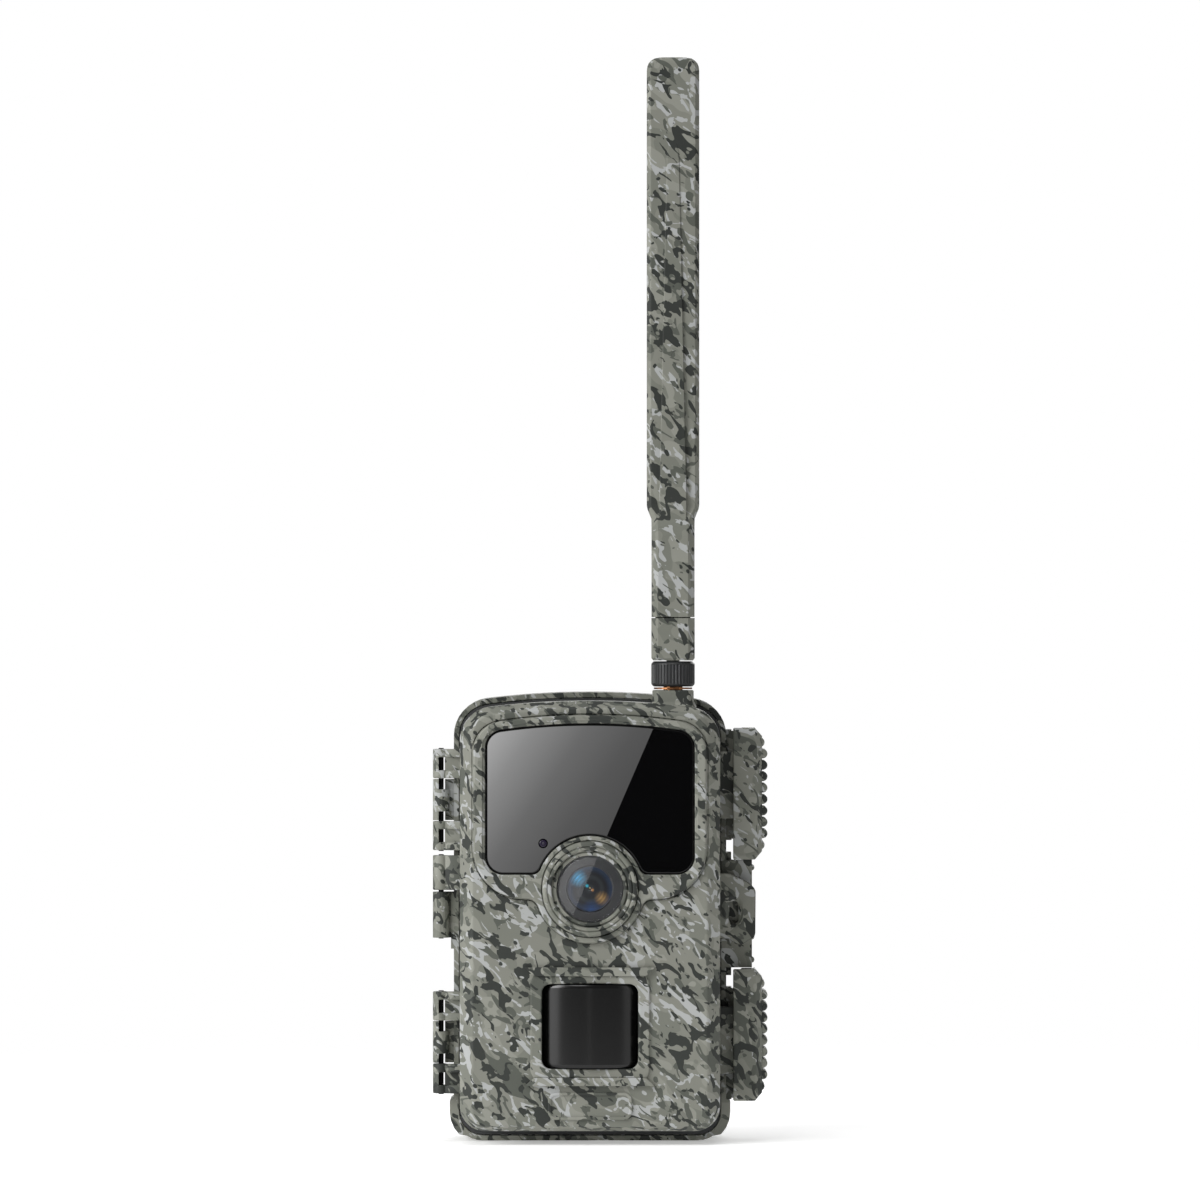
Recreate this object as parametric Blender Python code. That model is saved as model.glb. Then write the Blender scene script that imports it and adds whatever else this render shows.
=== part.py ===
"""Trail camera: a hinged two-part case with latches, lens, infrared panel and a folding antenna."""

import math

import bmesh
import bpy
from mathutils import Vector

mm = 0.001

# Frame: X across the front, -Y out of the front face, Z up, zero on the flat bottom of the rear shell.
seamY = -8.0
seamGap = 0.3
clearance = 0.3

# Each outline is (half width, bottom, top of the arch, arch radius, top corner, bottom corner).
rearOutline = (42.8, 0.0, 140.9, 261.0, 11.5, 9.0)
frontOutline = (40.65, 3.4, 138.4, 258.0, 10.5, 8.0)
ridgeOutline = (36.1, 77.0, 133.7, 200.0, 9.3, 8.0)
panelOutline = (32.35, 84.6, 131.1, 196.0, 5.3, 5.3)

rearBackY = 26.0
rearFloor = 4.0
frontFaceY = -34.0
frontWall = 2.5
ridgeY = -35.6
ringY = -37.0

lensCentre = (0.0, 79.5)
notchRadius = 16.9
ringRadius = 15.5
windowRadius = 10.3
barrelRadius = 8.5
glassRadius = 7.1

pirHalf = 14.75
pirLow = 24.0
pirHigh = 49.9
sensorSpot = (-14.6, 94.0)

hingeX = -46.8
barrelR = 2.6
pinR = 0.8
doorArms = ((113.9, 116.4), (120.5, 123.1), (91.3, 93.8), (97.9, 100.4), (78.8, 89.7),
            (37.8, 40.2), (44.3, 46.9), (14.9, 17.5), (21.5, 24.2))
rearArms = ((103.5, 110.4), (63.8, 78.2), (27.4, 34.3))
rearWindows = ((110.3, 113.6), (100.7, 103.6), (34.2, 37.5), (24.5, 27.5))
doorWindows = ((116.3, 120.6), (93.7, 98.0), (40.1, 44.4), (17.4, 21.6))
latchStops = {"upper": (94.4, 129.2), "lower": (12.9, 48.2)}
lugSteps = {"upper": (87.3, 90.6), "lower": (51.9, 55.3)}
hingePins = {"upper": (91.0, 123.4), "middle": (63.5, 90.0), "lower": (14.6, 47.2)}

latchPivot = (48.5, 1.0)
latchLength = 41.3
latchLow = {"upper": 88.5, "lower": 12.8}
catchSpan = {"upper": (101.3, 122.3), "lower": (21.2, 42.3)}
ribPitch = 3.58
ribCount = 10
earOffset = 12.0
earThick = 4.0

slotX = (43.7, 46.6)
slotZ = (68.2, 75.4)

antennaX = 26.0
antennaY = -19.0
foldY = antennaY + 6.75
foldZ = 164.4

cellRadius = 7.1
cellLength = 50.5
cellColumns = (-24.0, -8.0, 8.0, 24.0)
cellRows = (21.5, 75.0)
cellY = 13.5

coverScrews = ((-33.0, 14.0), (33.0, 14.0), (-33.0, 126.0), (33.0, 126.0))
buttonSpots = ((0.0, 82.0), (0.0, 62.0), (-9.0, 72.0), (9.0, 72.0), (0.0, 72.0))
buttonRadius = 3.4

colours = {
    "camo": ((0.22, 0.22, 0.19), 0.55, 0.0),
    "blackGloss": ((0.01, 0.01, 0.012), 0.08, 0.0),
    "blackMatte": ((0.02, 0.02, 0.02), 0.6, 0.0),
    "rubber": ((0.03, 0.03, 0.03), 0.85, 0.0),
    "glass": ((0.02, 0.025, 0.04), 0.03, 0.0),
    "steel": ((0.55, 0.55, 0.56), 0.3, 1.0),
    "brass": ((0.75, 0.5, 0.2), 0.3, 1.0),
    "board": ((0.02, 0.12, 0.05), 0.5, 0.0),
    "cell": ((0.12, 0.12, 0.14), 0.35, 0.6),
    "grey": ((0.12, 0.12, 0.12), 0.6, 0.0),
    "screen": ((0.03, 0.04, 0.05), 0.1, 0.0),
    "violet": ((0.05, 0.02, 0.08), 0.1, 0.0),
}


def clearScene():
    for obj in list(bpy.data.objects):
        bpy.data.objects.remove(obj, do_unlink=True)


def makeCollection(name):
    found = bpy.data.collections.new(name)
    bpy.context.scene.collection.children.link(found)
    return found


def makeMaterial(name, kind):
    colour, roughness, metallic = colours[kind]
    made = bpy.data.materials.new(name)
    made.use_nodes = True
    shader = made.node_tree.nodes["Principled BSDF"]
    shader.inputs["Base Color"].default_value = (*colour, 1.0)
    shader.inputs["Roughness"].default_value = roughness
    shader.inputs["Metallic"].default_value = metallic
    return made


def makeObject(name, points, faces):
    """One closed mesh from points in millimetres, its faces turned outwards."""
    mesh = bpy.data.meshes.new(name)
    mesh.from_pydata([tuple(c * mm for c in p) for p in points], [], faces)
    work = bmesh.new()
    work.from_mesh(mesh)
    bmesh.ops.recalc_face_normals(work, faces=work.faces)
    work.to_mesh(mesh)
    work.free()
    obj = bpy.data.objects.new(name, mesh)
    helpers.objects.link(obj)
    obj.hide_render = True
    obj.display_type = "WIRE"
    return obj


def part(obj, kind, origin=(0.0, 0.0, 0.0), smooth=True):
    """Moves a finished shape into the object's collection, with its own material and origin."""
    helpers.objects.unlink(obj)
    pieces.objects.link(obj)
    obj.hide_render = False
    obj.display_type = "TEXTURED"
    obj.data.materials.append(makeMaterial(obj.name + "_material", kind))
    shift = Vector(origin) * mm
    for vertex in obj.data.vertices:
        vertex.co -= shift
    obj.location = shift
    if smooth:
        obj.data.shade_smooth()
        obj.data.set_sharp_from_angle(angle=math.radians(32))
    return obj


def combine(obj, others, operation):
    for other in others:
        step = obj.modifiers.new(operation.lower(), "BOOLEAN")
        step.operation = operation
        step.solver = "EXACT"
        step.object = other
    return obj


def add(obj, *others):
    return combine(obj, others, "UNION")


def cut(obj, *others):
    return combine(obj, others, "DIFFERENCE")


def loft(name, rings):
    """A closed body through rings that have the same number of points, flat at both ends."""
    count = len(rings[0])
    points = [p for ring in rings for p in ring]
    faces = [tuple(range(count)), tuple(range(len(points) - count, len(points)))]
    for level in range(len(rings) - 1):
        start = level * count
        for i in range(count):
            j = (i + 1) % count
            faces.append((start + i, start + j, start + count + j, start + count + i))
    return makeObject(name, points, faces)


def place(axis, pair, height):
    u, v = pair
    return {"x": (height, u, v), "y": (u, height, v), "z": (u, v, height)}[axis]


def prism(name, axis, outline, low, high):
    """A flat outline extruded along one axis."""
    return loft(name, [[place(axis, p, h) for p in outline] for h in (low, high)])


def box(name, xs, ys, zs):
    return prism(name, "z", ((xs[0], ys[0]), (xs[1], ys[0]), (xs[1], ys[1]), (xs[0], ys[1])), *zs)


def circle(centre, radius, count, turn=0.0):
    steps = (2 * math.pi * (i + turn) / count for i in range(count))
    return [(centre[0] + radius * math.cos(a), centre[1] + radius * math.sin(a)) for a in steps]


def rod(name, axis, centre, radius, low, high, count=16):
    return prism(name, axis, circle(centre, radius, count), low, high)


def lathe(name, axis, centre, profile, count=24):
    """A profile of (radius, height) points turned about an axis; a zero radius ends it in a point."""
    points, rings = [], []
    for radius, height in profile:
        rings.append(len(points))
        ring = [centre] if radius == 0 else circle(centre, radius, count)
        points += [place(axis, p, height) for p in ring]
    faces, levels = [], len(profile)
    closed = profile[0][0] != 0
    for k in range(levels if closed else levels - 1):
        a, b = rings[k], rings[(k + 1) % levels]
        flatA, flatB = profile[k][0] == 0, profile[(k + 1) % levels][0] == 0
        for i in range(count):
            j = (i + 1) % count
            if flatA:
                faces.append((a, b + j, b + i))
            elif flatB:
                faces.append((a + i, a + j, b))
            else:
                faces.append((a + i, a + j, b + j, b + i))
    return makeObject(name, points, faces)


def arc(centre, radius, start, end, count):
    steps = (math.radians(start + (end - start) * i / count) for i in range(count + 1))
    return [(centre[0] + radius * math.cos(a), centre[1] + radius * math.sin(a)) for a in steps]


def arched(outline, side=0.0, low=0.0, top=0.0, corner=5, arch=10):
    """An arch-topped outline, drawn in by side, low and top, as (x, z) points."""
    half, bottom, peak, radius, upper, lower = outline
    half, bottom, peak = half - side, bottom + low, peak - top
    radius -= top
    upper, lower = max(upper - side, 0.6), max(lower - max(side, low), 0.6)
    centre = peak - radius
    rise = math.sqrt((radius - upper) ** 2 - (half - upper) ** 2)
    lean = math.degrees(math.atan2(rise, half - upper))
    right = arc((half - lower, bottom + lower), lower, -90, 0, corner)
    right += arc((half - upper, centre + rise), upper, 0, lean, corner)
    crown = arc((0, centre), radius, lean, 180 - lean, arch)[1:-1]
    return right + crown + [(-x, z) for x, z in reversed(right)]


def rounded(low, high, radius, corner=4):
    (x0, z0), (x1, z1) = low, high
    points = []
    for cx, cz, start in ((x1, z0, -90), (x1, z1, 0), (x0, z1, 90), (x0, z0, 180)):
        ix, iz = cx + (radius if cx == x0 else -radius), cz + (radius if cz == z0 else -radius)
        points += arc((ix, iz), radius, start, start + 90, corner)
    return points


def chamfered(centre, halfX, halfY, chamfer):
    x, y = centre
    a, b = halfX - chamfer, halfY - chamfer
    return [(x + a, y - halfY), (x + halfX, y - b), (x + halfX, y + b), (x + a, y + halfY),
            (x - a, y + halfY), (x - halfX, y + b), (x - halfX, y - b), (x - a, y - halfY)]


def panelShape(grow):
    """The infrared panel's outline, with the round notch over the lens; grow widens it all round."""
    outline = arched(panelOutline, -grow, -grow, -grow)
    base = panelOutline[1] - grow
    radius = notchRadius - grow
    fillet = 3.0
    centreX = math.sqrt((radius + fillet) ** 2 - (base + fillet - lensCentre[1]) ** 2)
    turn = math.degrees(math.atan2(base + fillet - lensCentre[1], centreX))
    left = arc((-centreX, base + fillet), fillet, -90, -turn, 4)
    notch = arc(lensCentre, radius, 180 - turn, turn, 12)[1:-1]
    right = [(-x, z) for x, z in reversed(left)]
    return outline + left + notch + right


def archedBody(name, outline, levels, **counts):
    """Rings of one outline at several depths; each level is (y, side, low, top)."""
    rings = []
    for y, *inset in levels:
        rings.append([(x, y, z) for x, z in arched(outline, *inset, **counts)])
    return loft(name, rings)


def knuckle(name, low, high, back):
    """A hinge barrel with the web that carries it; the web lies behind or before the seam."""
    web = (seamY + 0.4, seamY + 4.0) if back else (seamY - 3.4, seamY - seamGap)
    reach = -42.0 if back else -39.6
    arm = box(name + "_web", (hingeX, reach), web, (low, high))
    return rod(name, "z", (hingeX, seamY), barrelR, low, high, 18), arm


def pinWindow(name, low, high, back):
    """Between two arms: an outer strip and an inner wall that leave a slot open over the pin."""
    reach = -41.8 if back else -39.5
    wall = (seamY + 0.7, seamY + 3.6) if back else (seamY - 2.6, seamY - seamGap - 0.05)
    strip = prism(name + "_strip", "z", arc((hingeX, seamY), barrelR, 106, 254, 10), low, high)
    return strip, box(name + "_wall", (hingeX + 1.2, reach), wall, (low, high))


def latchEars(end):
    middle = latchLow[end] + latchLength / 2
    for sign in (-1, 1):
        low = middle + sign * earOffset - earThick / 2
        name = f"ear_{end}_{sign}"
        yield rod(name, "z", latchPivot, 2.4, low, low + earThick, 14)
        y = latchPivot[1]
        yield box(name + "_web", (41.5, latchPivot[0]), (y - 2.4, y + 2.4), (low, low + earThick))


def comb(name, low, pitch, count, radius, base, ys):
    """A row of half-round ribs across the outer side of a grip."""
    points = []
    for i in range(count):
        middle = low + pitch * i
        points += [(base + x, middle + z) for x, z in arc((0, 0), radius, -90, 90, 6)]
    inner = base - 1.0
    return prism(name, "y", [(inner, points[0][1])] + points + [(inner, points[-1][1])], *ys)


def lugSlot(name, ys):
    half = (slotX[1] - slotX[0]) / 2
    x = slotX[0] + half
    outline = arc((x, slotZ[1] - half), half, 0, 180, 6) + arc((x, slotZ[0] + half), half, 180, 360, 6)
    return prism(name, "y", outline, *ys)


def makeRearShell():
    levels = ((seamY, 0, 0, 0), (rearBackY - 4, 0, 0, 0), (rearBackY - 2.5, 0.3, 0.2, 0.3),
              (rearBackY - 1.2, 1.05, 0.7, 1.05), (rearBackY - 0.3, 2.3, 1.5, 2.3), (rearBackY, 3.8, 2.5, 3.8))
    shell = archedBody("rear_shell", rearOutline, levels, corner=8, arch=22)
    half = 44.1
    skirt = arc((half - 10, 9.0), 10, -60, 0, 4) + [(half, 12.3), (half - 1.3, 13.3)]
    skirt = [(half - 13, 0.0)] + skirt[1:]
    skirt = skirt + [(-x, z) for x, z in reversed(skirt)]
    add(shell, prism("skirt", "y", skirt, seamY, rearBackY - 4))
    for low, high in rearArms:
        add(shell, *knuckle(f"rear_knuckle_{low:.0f}", low, high, True))
    for low, high in rearWindows:
        add(shell, *pinWindow(f"rear_window_{low:.0f}", low, high, True))
    for end in latchLow:
        add(shell, *latchEars(end))
        add(shell, box(f"latch_stop_{end}", (41.5, 44.5), (-6.2, 3.3), latchStops[end]))
        low, high = latchStops[end]
        add(shell, box(f"latch_lip_{end}", (42.0, 46.85), (-6.2, -3.5), (low + 0.4, high - 0.4)))
        add(shell, box(f"lug_step_{end}", (41.6, 44.4), (-6.4, 3.0), lugSteps[end]))
    add(shell, box("rear_strip", (-43.7, -42.0), (seamY, -3.0), (60.3, 78.0)))
    add(shell, box("rear_lug", (41.5, 50.9), (seamY, -1.0), (54.4, 88.2)))
    add(shell, comb("rear_lug_ribs", 56.8, 7.25, 5, 0.95, 50.75, (seamY + 0.6, -1.6)))
    deep = archedBody("rear_cavity", rearOutline, ((-5.0, 2.6, rearFloor, 2.6),
                                                   (rearBackY - 2.6, 2.6, rearFloor, 2.6)))
    mouth = archedBody("rear_mouth", rearOutline, ((seamY - 1, 5.2, 5.2, 5.2), (-4.5, 5.2, 5.2, 5.2)))
    cut(shell, deep, mouth)
    groove = archedBody("groove_outer", rearOutline, ((seamY - 1, 1.6, 1.6, 1.6), (-6.8, 1.6, 1.6, 1.6)))
    land = archedBody("groove_inner", rearOutline, ((seamY - 2, 3.8, 3.8, 3.8), (-6.0, 3.8, 3.8, 3.8)))
    cut(shell, cut(groove, land))
    add(shell, rod("tripod_boss", "z", (0, 14), 8.0, 2.0, 12.4, 24))
    cut(shell, rod("tripod_hole", "z", (0, 14), 5.3, -1.0, 10.6, 20))
    for name, (low, high) in hingePins.items():
        cut(shell, rod(f"rear_bore_{name}", "z", (hingeX, seamY), pinR + clearance, low - 2, high + 2, 12))
    cut(shell, rod("latch_bore", "z", latchPivot, pinR + clearance, 5.0, 135.0, 12))
    for z in bracketScrewZ:
        cut(shell, rod(f"screw_pocket_{z:.0f}", "y", (0, z), 1.5, 24.3, rearBackY + 1, 10))
    return part(shell, "camo")


def makeFrontShell():
    levels = ((seamY - seamGap, 0, 0, 0), (-30.0, 0, 0, 0), (-32.2, 1.0, 0.4, 0.7),
              (-33.5, 2.5, 1.1, 1.7), (frontFaceY, 4.2, 1.9, 2.6))
    shell = archedBody("front_shell", frontOutline, levels)
    inside = ((seamY + 1, 2.4, 2.4, 2.4), (frontFaceY + frontWall, 2.4, 2.4, 2.4))
    cut(shell, archedBody("front_cavity", frontOutline, inside))
    low = frontFaceY + 0.4
    add(shell, prism("ridge", "y", arched(ridgeOutline), ridgeY, low))
    ring = ((ringRadius, low), (ringRadius, ringY + 0.6), (ringRadius - 0.8, ringY), (12.9, ringY),
            (12.9, ringY + 0.5), (11.8, ringY + 0.5), (11.8, ringY + 1.0), (5.0, ringY + 1.0), (5.0, low))
    add(shell, lathe("lens_ring", "y", lensCentre, ring, 32))
    frame = [(-18.5, 22.5), (-14.5, 18.5), (14.5, 18.5), (18.5, 22.5),
             (18.5, 51.3), (14.5, 55.3), (-14.5, 55.3), (-18.5, 51.3)]
    add(shell, prism("pir_frame", "y", frame, frontFaceY - 1.3, low))
    add(shell, prism("badge", "y", rounded((-13.1, 7.8), (13.1, 16.4), 2.5), frontFaceY - 0.6, low))
    for x, z in coverScrews:
        add(shell, rod(f"post_{x:.0f}_{z:.0f}", "y", (x, z), 3.0, -32.0, -11.0, 12))
    boss = chamfered((antennaX, antennaY), 6.45, 6.45, 1.9)
    add(shell, prism("antenna_boss", "z", boss, 135.4, 141.7))
    for low, high in doorArms:
        add(shell, *knuckle(f"door_knuckle_{low:.0f}", low, high, False))
    for low, high in doorWindows:
        add(shell, *pinWindow(f"door_window_{low:.0f}", low, high, False))
    for end, span in catchSpan.items():
        add(shell, box(f"catch_{end}", (39.6, 46.6), (-12.8, -10.3), span))
    lug = ((39.6, 83.7), (43.8, 83.7), (49.4, 80.9), (51.5, 78.9), (51.4, 64.6), (47.1, 61.9),
           (43.6, 64.1), (39.6, 64.1))
    add(shell, prism("door_lug", "y", lug, -12.2, seamY - seamGap))
    cutFront(shell)
    return part(shell, "camo")


def cutFront(shell):
    pir = rounded((-pirHalf - clearance, pirLow - clearance), (pirHalf + clearance, pirHigh + clearance), 2.9)
    cut(shell, prism("pir_hole", "y", pir, -38, -30))
    cut(shell, prism("panel_pocket", "y", panelShape(clearance), -38, -32.6))
    cut(shell, prism("panel_opening", "y", panelShape(-2.2), -38, -30))
    seat, bore = windowRadius + clearance, barrelRadius + 0.4
    profile = ((0, -30), (bore, -30), (bore, -33.9), (seat, -33.9), (seat, -38), (0, -38))
    cut(shell, lathe("window_seat", "y", lensCentre, profile, 36))
    cut(shell, rod("antenna_hole", "z", (antennaX, antennaY), 3.3, 130, 143, 16))
    for name, (low, high) in hingePins.items():
        cut(shell, rod(f"door_bore_{name}", "z", (hingeX, seamY), pinR + clearance, low - 2, high + 2, 12))
    cut(shell, lugSlot("door_slot", (-13, seamY + 1)))
    for x, z in coverScrews:
        cut(shell, rod(f"post_hole_{x:.0f}_{z:.0f}", "y", (x, z), 1.4, -16, -10, 10))


def makeLatch(end):
    low = latchLow[end]
    high = low + latchLength
    profile = ((44.9, -16.0), (52.1, -16.0), (54.0, -13.8), (54.0, 2.0), (52.5, 4.0), (46.2, 4.0),
               (45.9, 3.4), (45.9, -1.8), (47.2, -3.0), (47.2, -13.1), (44.9, -13.1))
    latch = prism(f"latch_{end}", "z", profile, low, high)
    first = low + (latchLength - ribPitch * (ribCount - 1)) / 2
    add(latch, comb(f"latch_ribs_{end}", first, ribPitch, ribCount, 1.5, 54.2, (-13.4, 1.2)))
    for z, sign in ((low, 1), (high, -1)):
        corner = ((56, z + sign * 4.6), (56, z - sign), (50.9, z - sign))
        cut(latch, prism(f"latch_corner_{end}_{sign}", "y", corner, -20, 10))
    for sign in (-1, 1):
        middle = low + latchLength / 2 + sign * earOffset
        reach = earThick / 2 + clearance
        cut(latch, box(f"ear_room_{end}_{sign}", (42, 51.4), (-1.9, 6), (middle - reach, middle + reach)))
    cut(latch, rod(f"latch_hole_{end}", "z", latchPivot, pinR + clearance, low - 1, high + 1, 12))
    return part(latch, "camo", (*latchPivot, low + latchLength / 2))


def makePins():
    for name, (low, high) in hingePins.items():
        pin = rod(f"hinge_pin_{name}", "z", (hingeX, seamY), pinR, low, high, 12)
        part(pin, "blackMatte", (hingeX, seamY, low))
    for end, low in latchLow.items():
        pin = rod(f"latch_pin_{end}", "z", latchPivot, pinR, low + 4.0, low + latchLength - 4.0, 12)
        part(pin, "steel", (*latchPivot, low))


def makeGasket():
    outer = archedBody("door_gasket", rearOutline, ((-8.15, 1.9, 1.9, 1.9), (-7.1, 1.9, 1.9, 1.9)))
    inner = archedBody("gasket_inner", rearOutline, ((-9, 3.5, 3.5, 3.5), (-6, 3.5, 3.5, 3.5)))
    return part(cut(outer, inner), "rubber")


bracketScrewZ = (44.0, 100.0)


def bracketFlange(x):
    """A side flange whose rear edge is toothed to bite on bark."""
    edge, step = [], 4.0
    for i in range(18):
        edge += [(34.4, 36 + step * i), (37.0, 38 + step * i)]
    outline = [(28.0, 36.0)] + edge + [(34.4, 108.0), (28.0, 108.0)]
    return prism(f"flange_{x:.0f}", "x", outline, x, x + 3.0)


def makeBracket():
    bracket = box("mount_bracket", (-24.0, 24.0), (rearBackY + clearance, 29.0), (34.0, 110.0))
    for x in (-24.0, 21.0):
        add(bracket, bracketFlange(x))
    cut(bracket, box("strap_slot", (-30, 30), (29.3, 34.0), (59.0, 85.0)))
    for z in bracketScrewZ:
        cut(bracket, rod(f"bracket_hole_{z:.0f}", "y", (0, z), 1.6, 25, 30, 12))
    part(bracket, "grey")
    for number, z in enumerate(bracketScrewZ, 1):
        profile = ((0, 24.6), (1.2, 24.6), (1.2, 29.3), (3.6, 29.3), (3.3, 31.0), (0, 31.4))
        part(lathe(f"bracket_screw_{number}", "y", (0, z), profile, 12), "steel")


def makeTripodInsert():
    profile = ((3.175, 0.3), (5.0, 0.3), (5.0, 10.2), (3.175, 10.2))
    return part(lathe("tripod_insert", "z", (0, 14), profile, 20), "brass")


def makeTray():
    tray = box("battery_tray", (-33.5, 33.5), (4.0, 22.8), (15.8, 129.6))
    for low in cellRows:
        start = 17.3 if low == cellRows[0] else low - 0.6
        end = start + (cellLength + 4.8 if low == cellRows[0] else cellLength + 2.6)
        cut(tray, box(f"cell_bay_{low:.0f}", (-32, 32), (2, 21.2), (start, end)))
    for x in (-16.0, 0.0, 16.0):
        add(tray, box(f"cell_rib_{x:.0f}", (x - 0.55, x + 0.55), (15.0, 21.6), (17.0, 128.0)))
    return part(tray, "blackMatte")


def makeCells():
    number = 0
    for low in cellRows:
        for x in cellColumns:
            number += 1
            top = low + cellLength
            profile = ((0, low), (cellRadius - 0.6, low), (cellRadius, low + 0.6), (cellRadius, top - 1.6),
                       (cellRadius - 0.6, top - 1.0), (2.7, top - 1.0), (2.7, top), (0, top))
            part(lathe(f"battery_{number}", "z", (x, cellY), profile, 20), "cell")


def makeSpring(number, x):
    """A conical coil: a round wire along a helix that narrows as it rises."""
    turns, sides, steps, wire = 2.5, 6, 30, 0.35
    rings = []
    for i in range(steps + 1):
        t = i / steps
        angle, radius = 2 * math.pi * turns * t, 4.6 - 2.2 * t
        centre = Vector((x + radius * math.cos(angle), cellY + radius * math.sin(angle), 17.95 + 2.8 * t))
        outward = Vector((math.cos(angle), math.sin(angle), 0.0))
        ring = []
        for k in range(sides):
            a = 2 * math.pi * k / sides
            ring.append(tuple(centre + wire * (outward * math.cos(a) + Vector((0, 0, math.sin(a))))))
        rings.append(ring)
    part(loft(f"spring_contact_{number}", rings), "steel")


def makeDoorInside():
    part(prism("ir_panel", "y", panelShape(0.0), -34.2, -32.9), "blackGloss")
    panel = bpy.data.objects["ir_panel"]
    cut(panel, rod("sensor_hole", "y", sensorSpot, 1.55, -36, -31, 12))
    part(rod("light_sensor", "y", sensorSpot, 1.25, -34.25, -31.5, 12), "violet")
    part(makeLedBoard(), "board")
    window = ((0, -34.3), (windowRadius, -34.3), (windowRadius, -35.1), (windowRadius - 0.4, -35.5), (0, -35.5))
    part(lathe("lens_window", "y", lensCentre, window, 32), "glass")
    part(makeBarrel(), "blackMatte")
    dome = ((0, -29.6), (glassRadius, -29.6), (glassRadius, -31.4), (5.6, -32.4), (3.0, -33.1), (0, -33.4))
    part(lathe("lens_element", "y", lensCentre, dome, 24), "glass")
    part(box("camera_board", (-15.5, 15.5), (-18.9, -17.5), (66.0, 93.0)), "board")
    part(makePirLens(), "blackMatte")
    sensor = ((0, -17.0), (4.9, -17.0), (4.9, -18.0), (4.2, -18.4), (4.2, -23.5), (0, -23.5))
    part(lathe("pir_sensor", "y", (0, 37), sensor, 16), "steel")
    part(makeMainBoard(), "board")
    part(makeCover(), "blackMatte")
    part(box("lcd_screen", (-25.2, 25.2), (-12.4, -9.2), (92.3, 125.7)), "screen")
    for number, (x, z) in enumerate(coverScrews, 1):
        profile = ((0, -14.5), (1.1, -14.5), (1.1, -8.5), (2.6, -8.5), (2.2, -7.3), (0, -7.1))
        part(lathe(f"cover_screw_{number}", "y", (x, z), profile, 10), "steel")


def makeLedBoard():
    board = box("led_board", (-28.5, 28.5), (-31.1, -29.6), (98.5, 126.5))
    for z in (102.0, 108.5, 115.0, 121.5):
        for x in (-24, -18, -12, -6, 0, 6, 12, 18, 24):
            add(board, rod(f"led_{x}_{z:.0f}", "y", (x, z), 1.5, -32.4, -30.5, 6))
    return board


def makeBarrel():
    front = ((5.6, -23.2), (barrelRadius, -23.2), (barrelRadius, -33.9), (7.6, -33.9), (7.4, -29.3), (5.6, -29.3))
    barrel = lathe("lens_barrel", "y", lensCentre, front, 24)
    block = box("barrel_block", (-16.5, 16.5), (-24.0, -19.3), (69.0, 90.0))
    add(barrel, block)
    cut(barrel, rod("light_path", "y", lensCentre, 5.6, -27, -18, 24))
    return cut(barrel, box("filter_slot", (-8.0, 18.0), (-22.2, -20.6), (73.2, 85.8)))


def makePirLens():
    """A thin curved window: two arcs about an upright axis, closed at the sides."""
    radius, middle, thick = 32.0, -35.8, 1.0
    lean = math.degrees(math.asin((pirHalf + 0.5) / radius))
    centre = (0, middle + radius)
    outer = arc(centre, radius, 270 - lean, 270 + lean, 12)
    inner = arc(centre, radius - thick, 270 + lean, 270 - lean, 12)
    lens = prism("pir_lens", "z", outer + inner, pirLow - 1, pirHigh + 1)
    edge = rounded((-pirHalf, pirLow), (pirHalf, pirHigh), 2.7)
    return combine(lens, [prism("pir_edge", "y", edge, -38, -28)], "INTERSECT")


def makeMainBoard():
    board = box("main_board", (-29.0, 29.0), (-16.2, -14.6), (10.0, 129.5))
    chips = (((-20, -8), (100, 112)), ((6, 20), (98, 110)), ((-22, -12), (52, 60)), ((12, 24), (48, 58)))
    for number, (xs, zs) in enumerate(chips):
        add(board, box(f"chip_{number}", xs, (-17.8, -15.5), zs))
    return board


def makeCover():
    cover = archedBody("inner_cover", frontOutline, ((-10.7, 2.7, 2.7, 2.7), (-8.9, 2.7, 2.7, 2.7)))
    cut(cover, box("screen_room", (-25.5, 25.5), (-12, -7), (92.0, 126.0)))
    for number, spot in enumerate(buttonSpots, 1):
        cut(cover, rod(f"button_hole_{number}", "y", spot, buttonRadius + clearance, -12, -7, 14))
    cut(cover, box("switch_slot", (-28.0, -15.0), (-12, -7), (69.7, 74.3)))
    cut(cover, box("card_bay", (9.5, 34.5), (-12, -7), (18.0, 58.0)))
    for number, spot in enumerate(coverScrews, 1):
        cut(cover, rod(f"cover_hole_{number}", "y", spot, 1.4, -12, -7, 10))
    return cover


def makeControls():
    for number, (x, z) in enumerate(buttonSpots, 1):
        profile = ((0, -13.4), (2.2, -13.4), (2.2, -11.3), (buttonRadius, -10.9), (buttonRadius, -7.8),
                   (buttonRadius - 0.5, -7.4), (0, -7.4))
        part(lathe(f"button_{number}", "y", (x, z), profile, 14), "rubber", (x, -10.0, z))
    knob = add(box("power_switch", (-27.4, -23.4), (-13.4, -7.4), (70.2, 73.8)),
               box("switch_foot", (-28.4, -22.4), (-13.4, -11.2), (69.0, 75.0)))
    part(knob, "grey", (-25.4, -10.0, 72.0))
    card = prism("sd_card", "y", ((10.0, 30.0), (34.0, 30.0), (34.0, 59.0), (31.0, 62.0), (10.0, 62.0)),
                 -13.2, -11.1)
    part(card, "blackMatte", (22.0, -12.1, 46.0))
    blade = prism("ir_cut_filter", "y", rounded((-6.8, 74.0), (6.8, 85.0), 1.0, 2), -21.8, -21.0)
    part(blade, "glass", (0.0, -21.4, 79.5))


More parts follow.
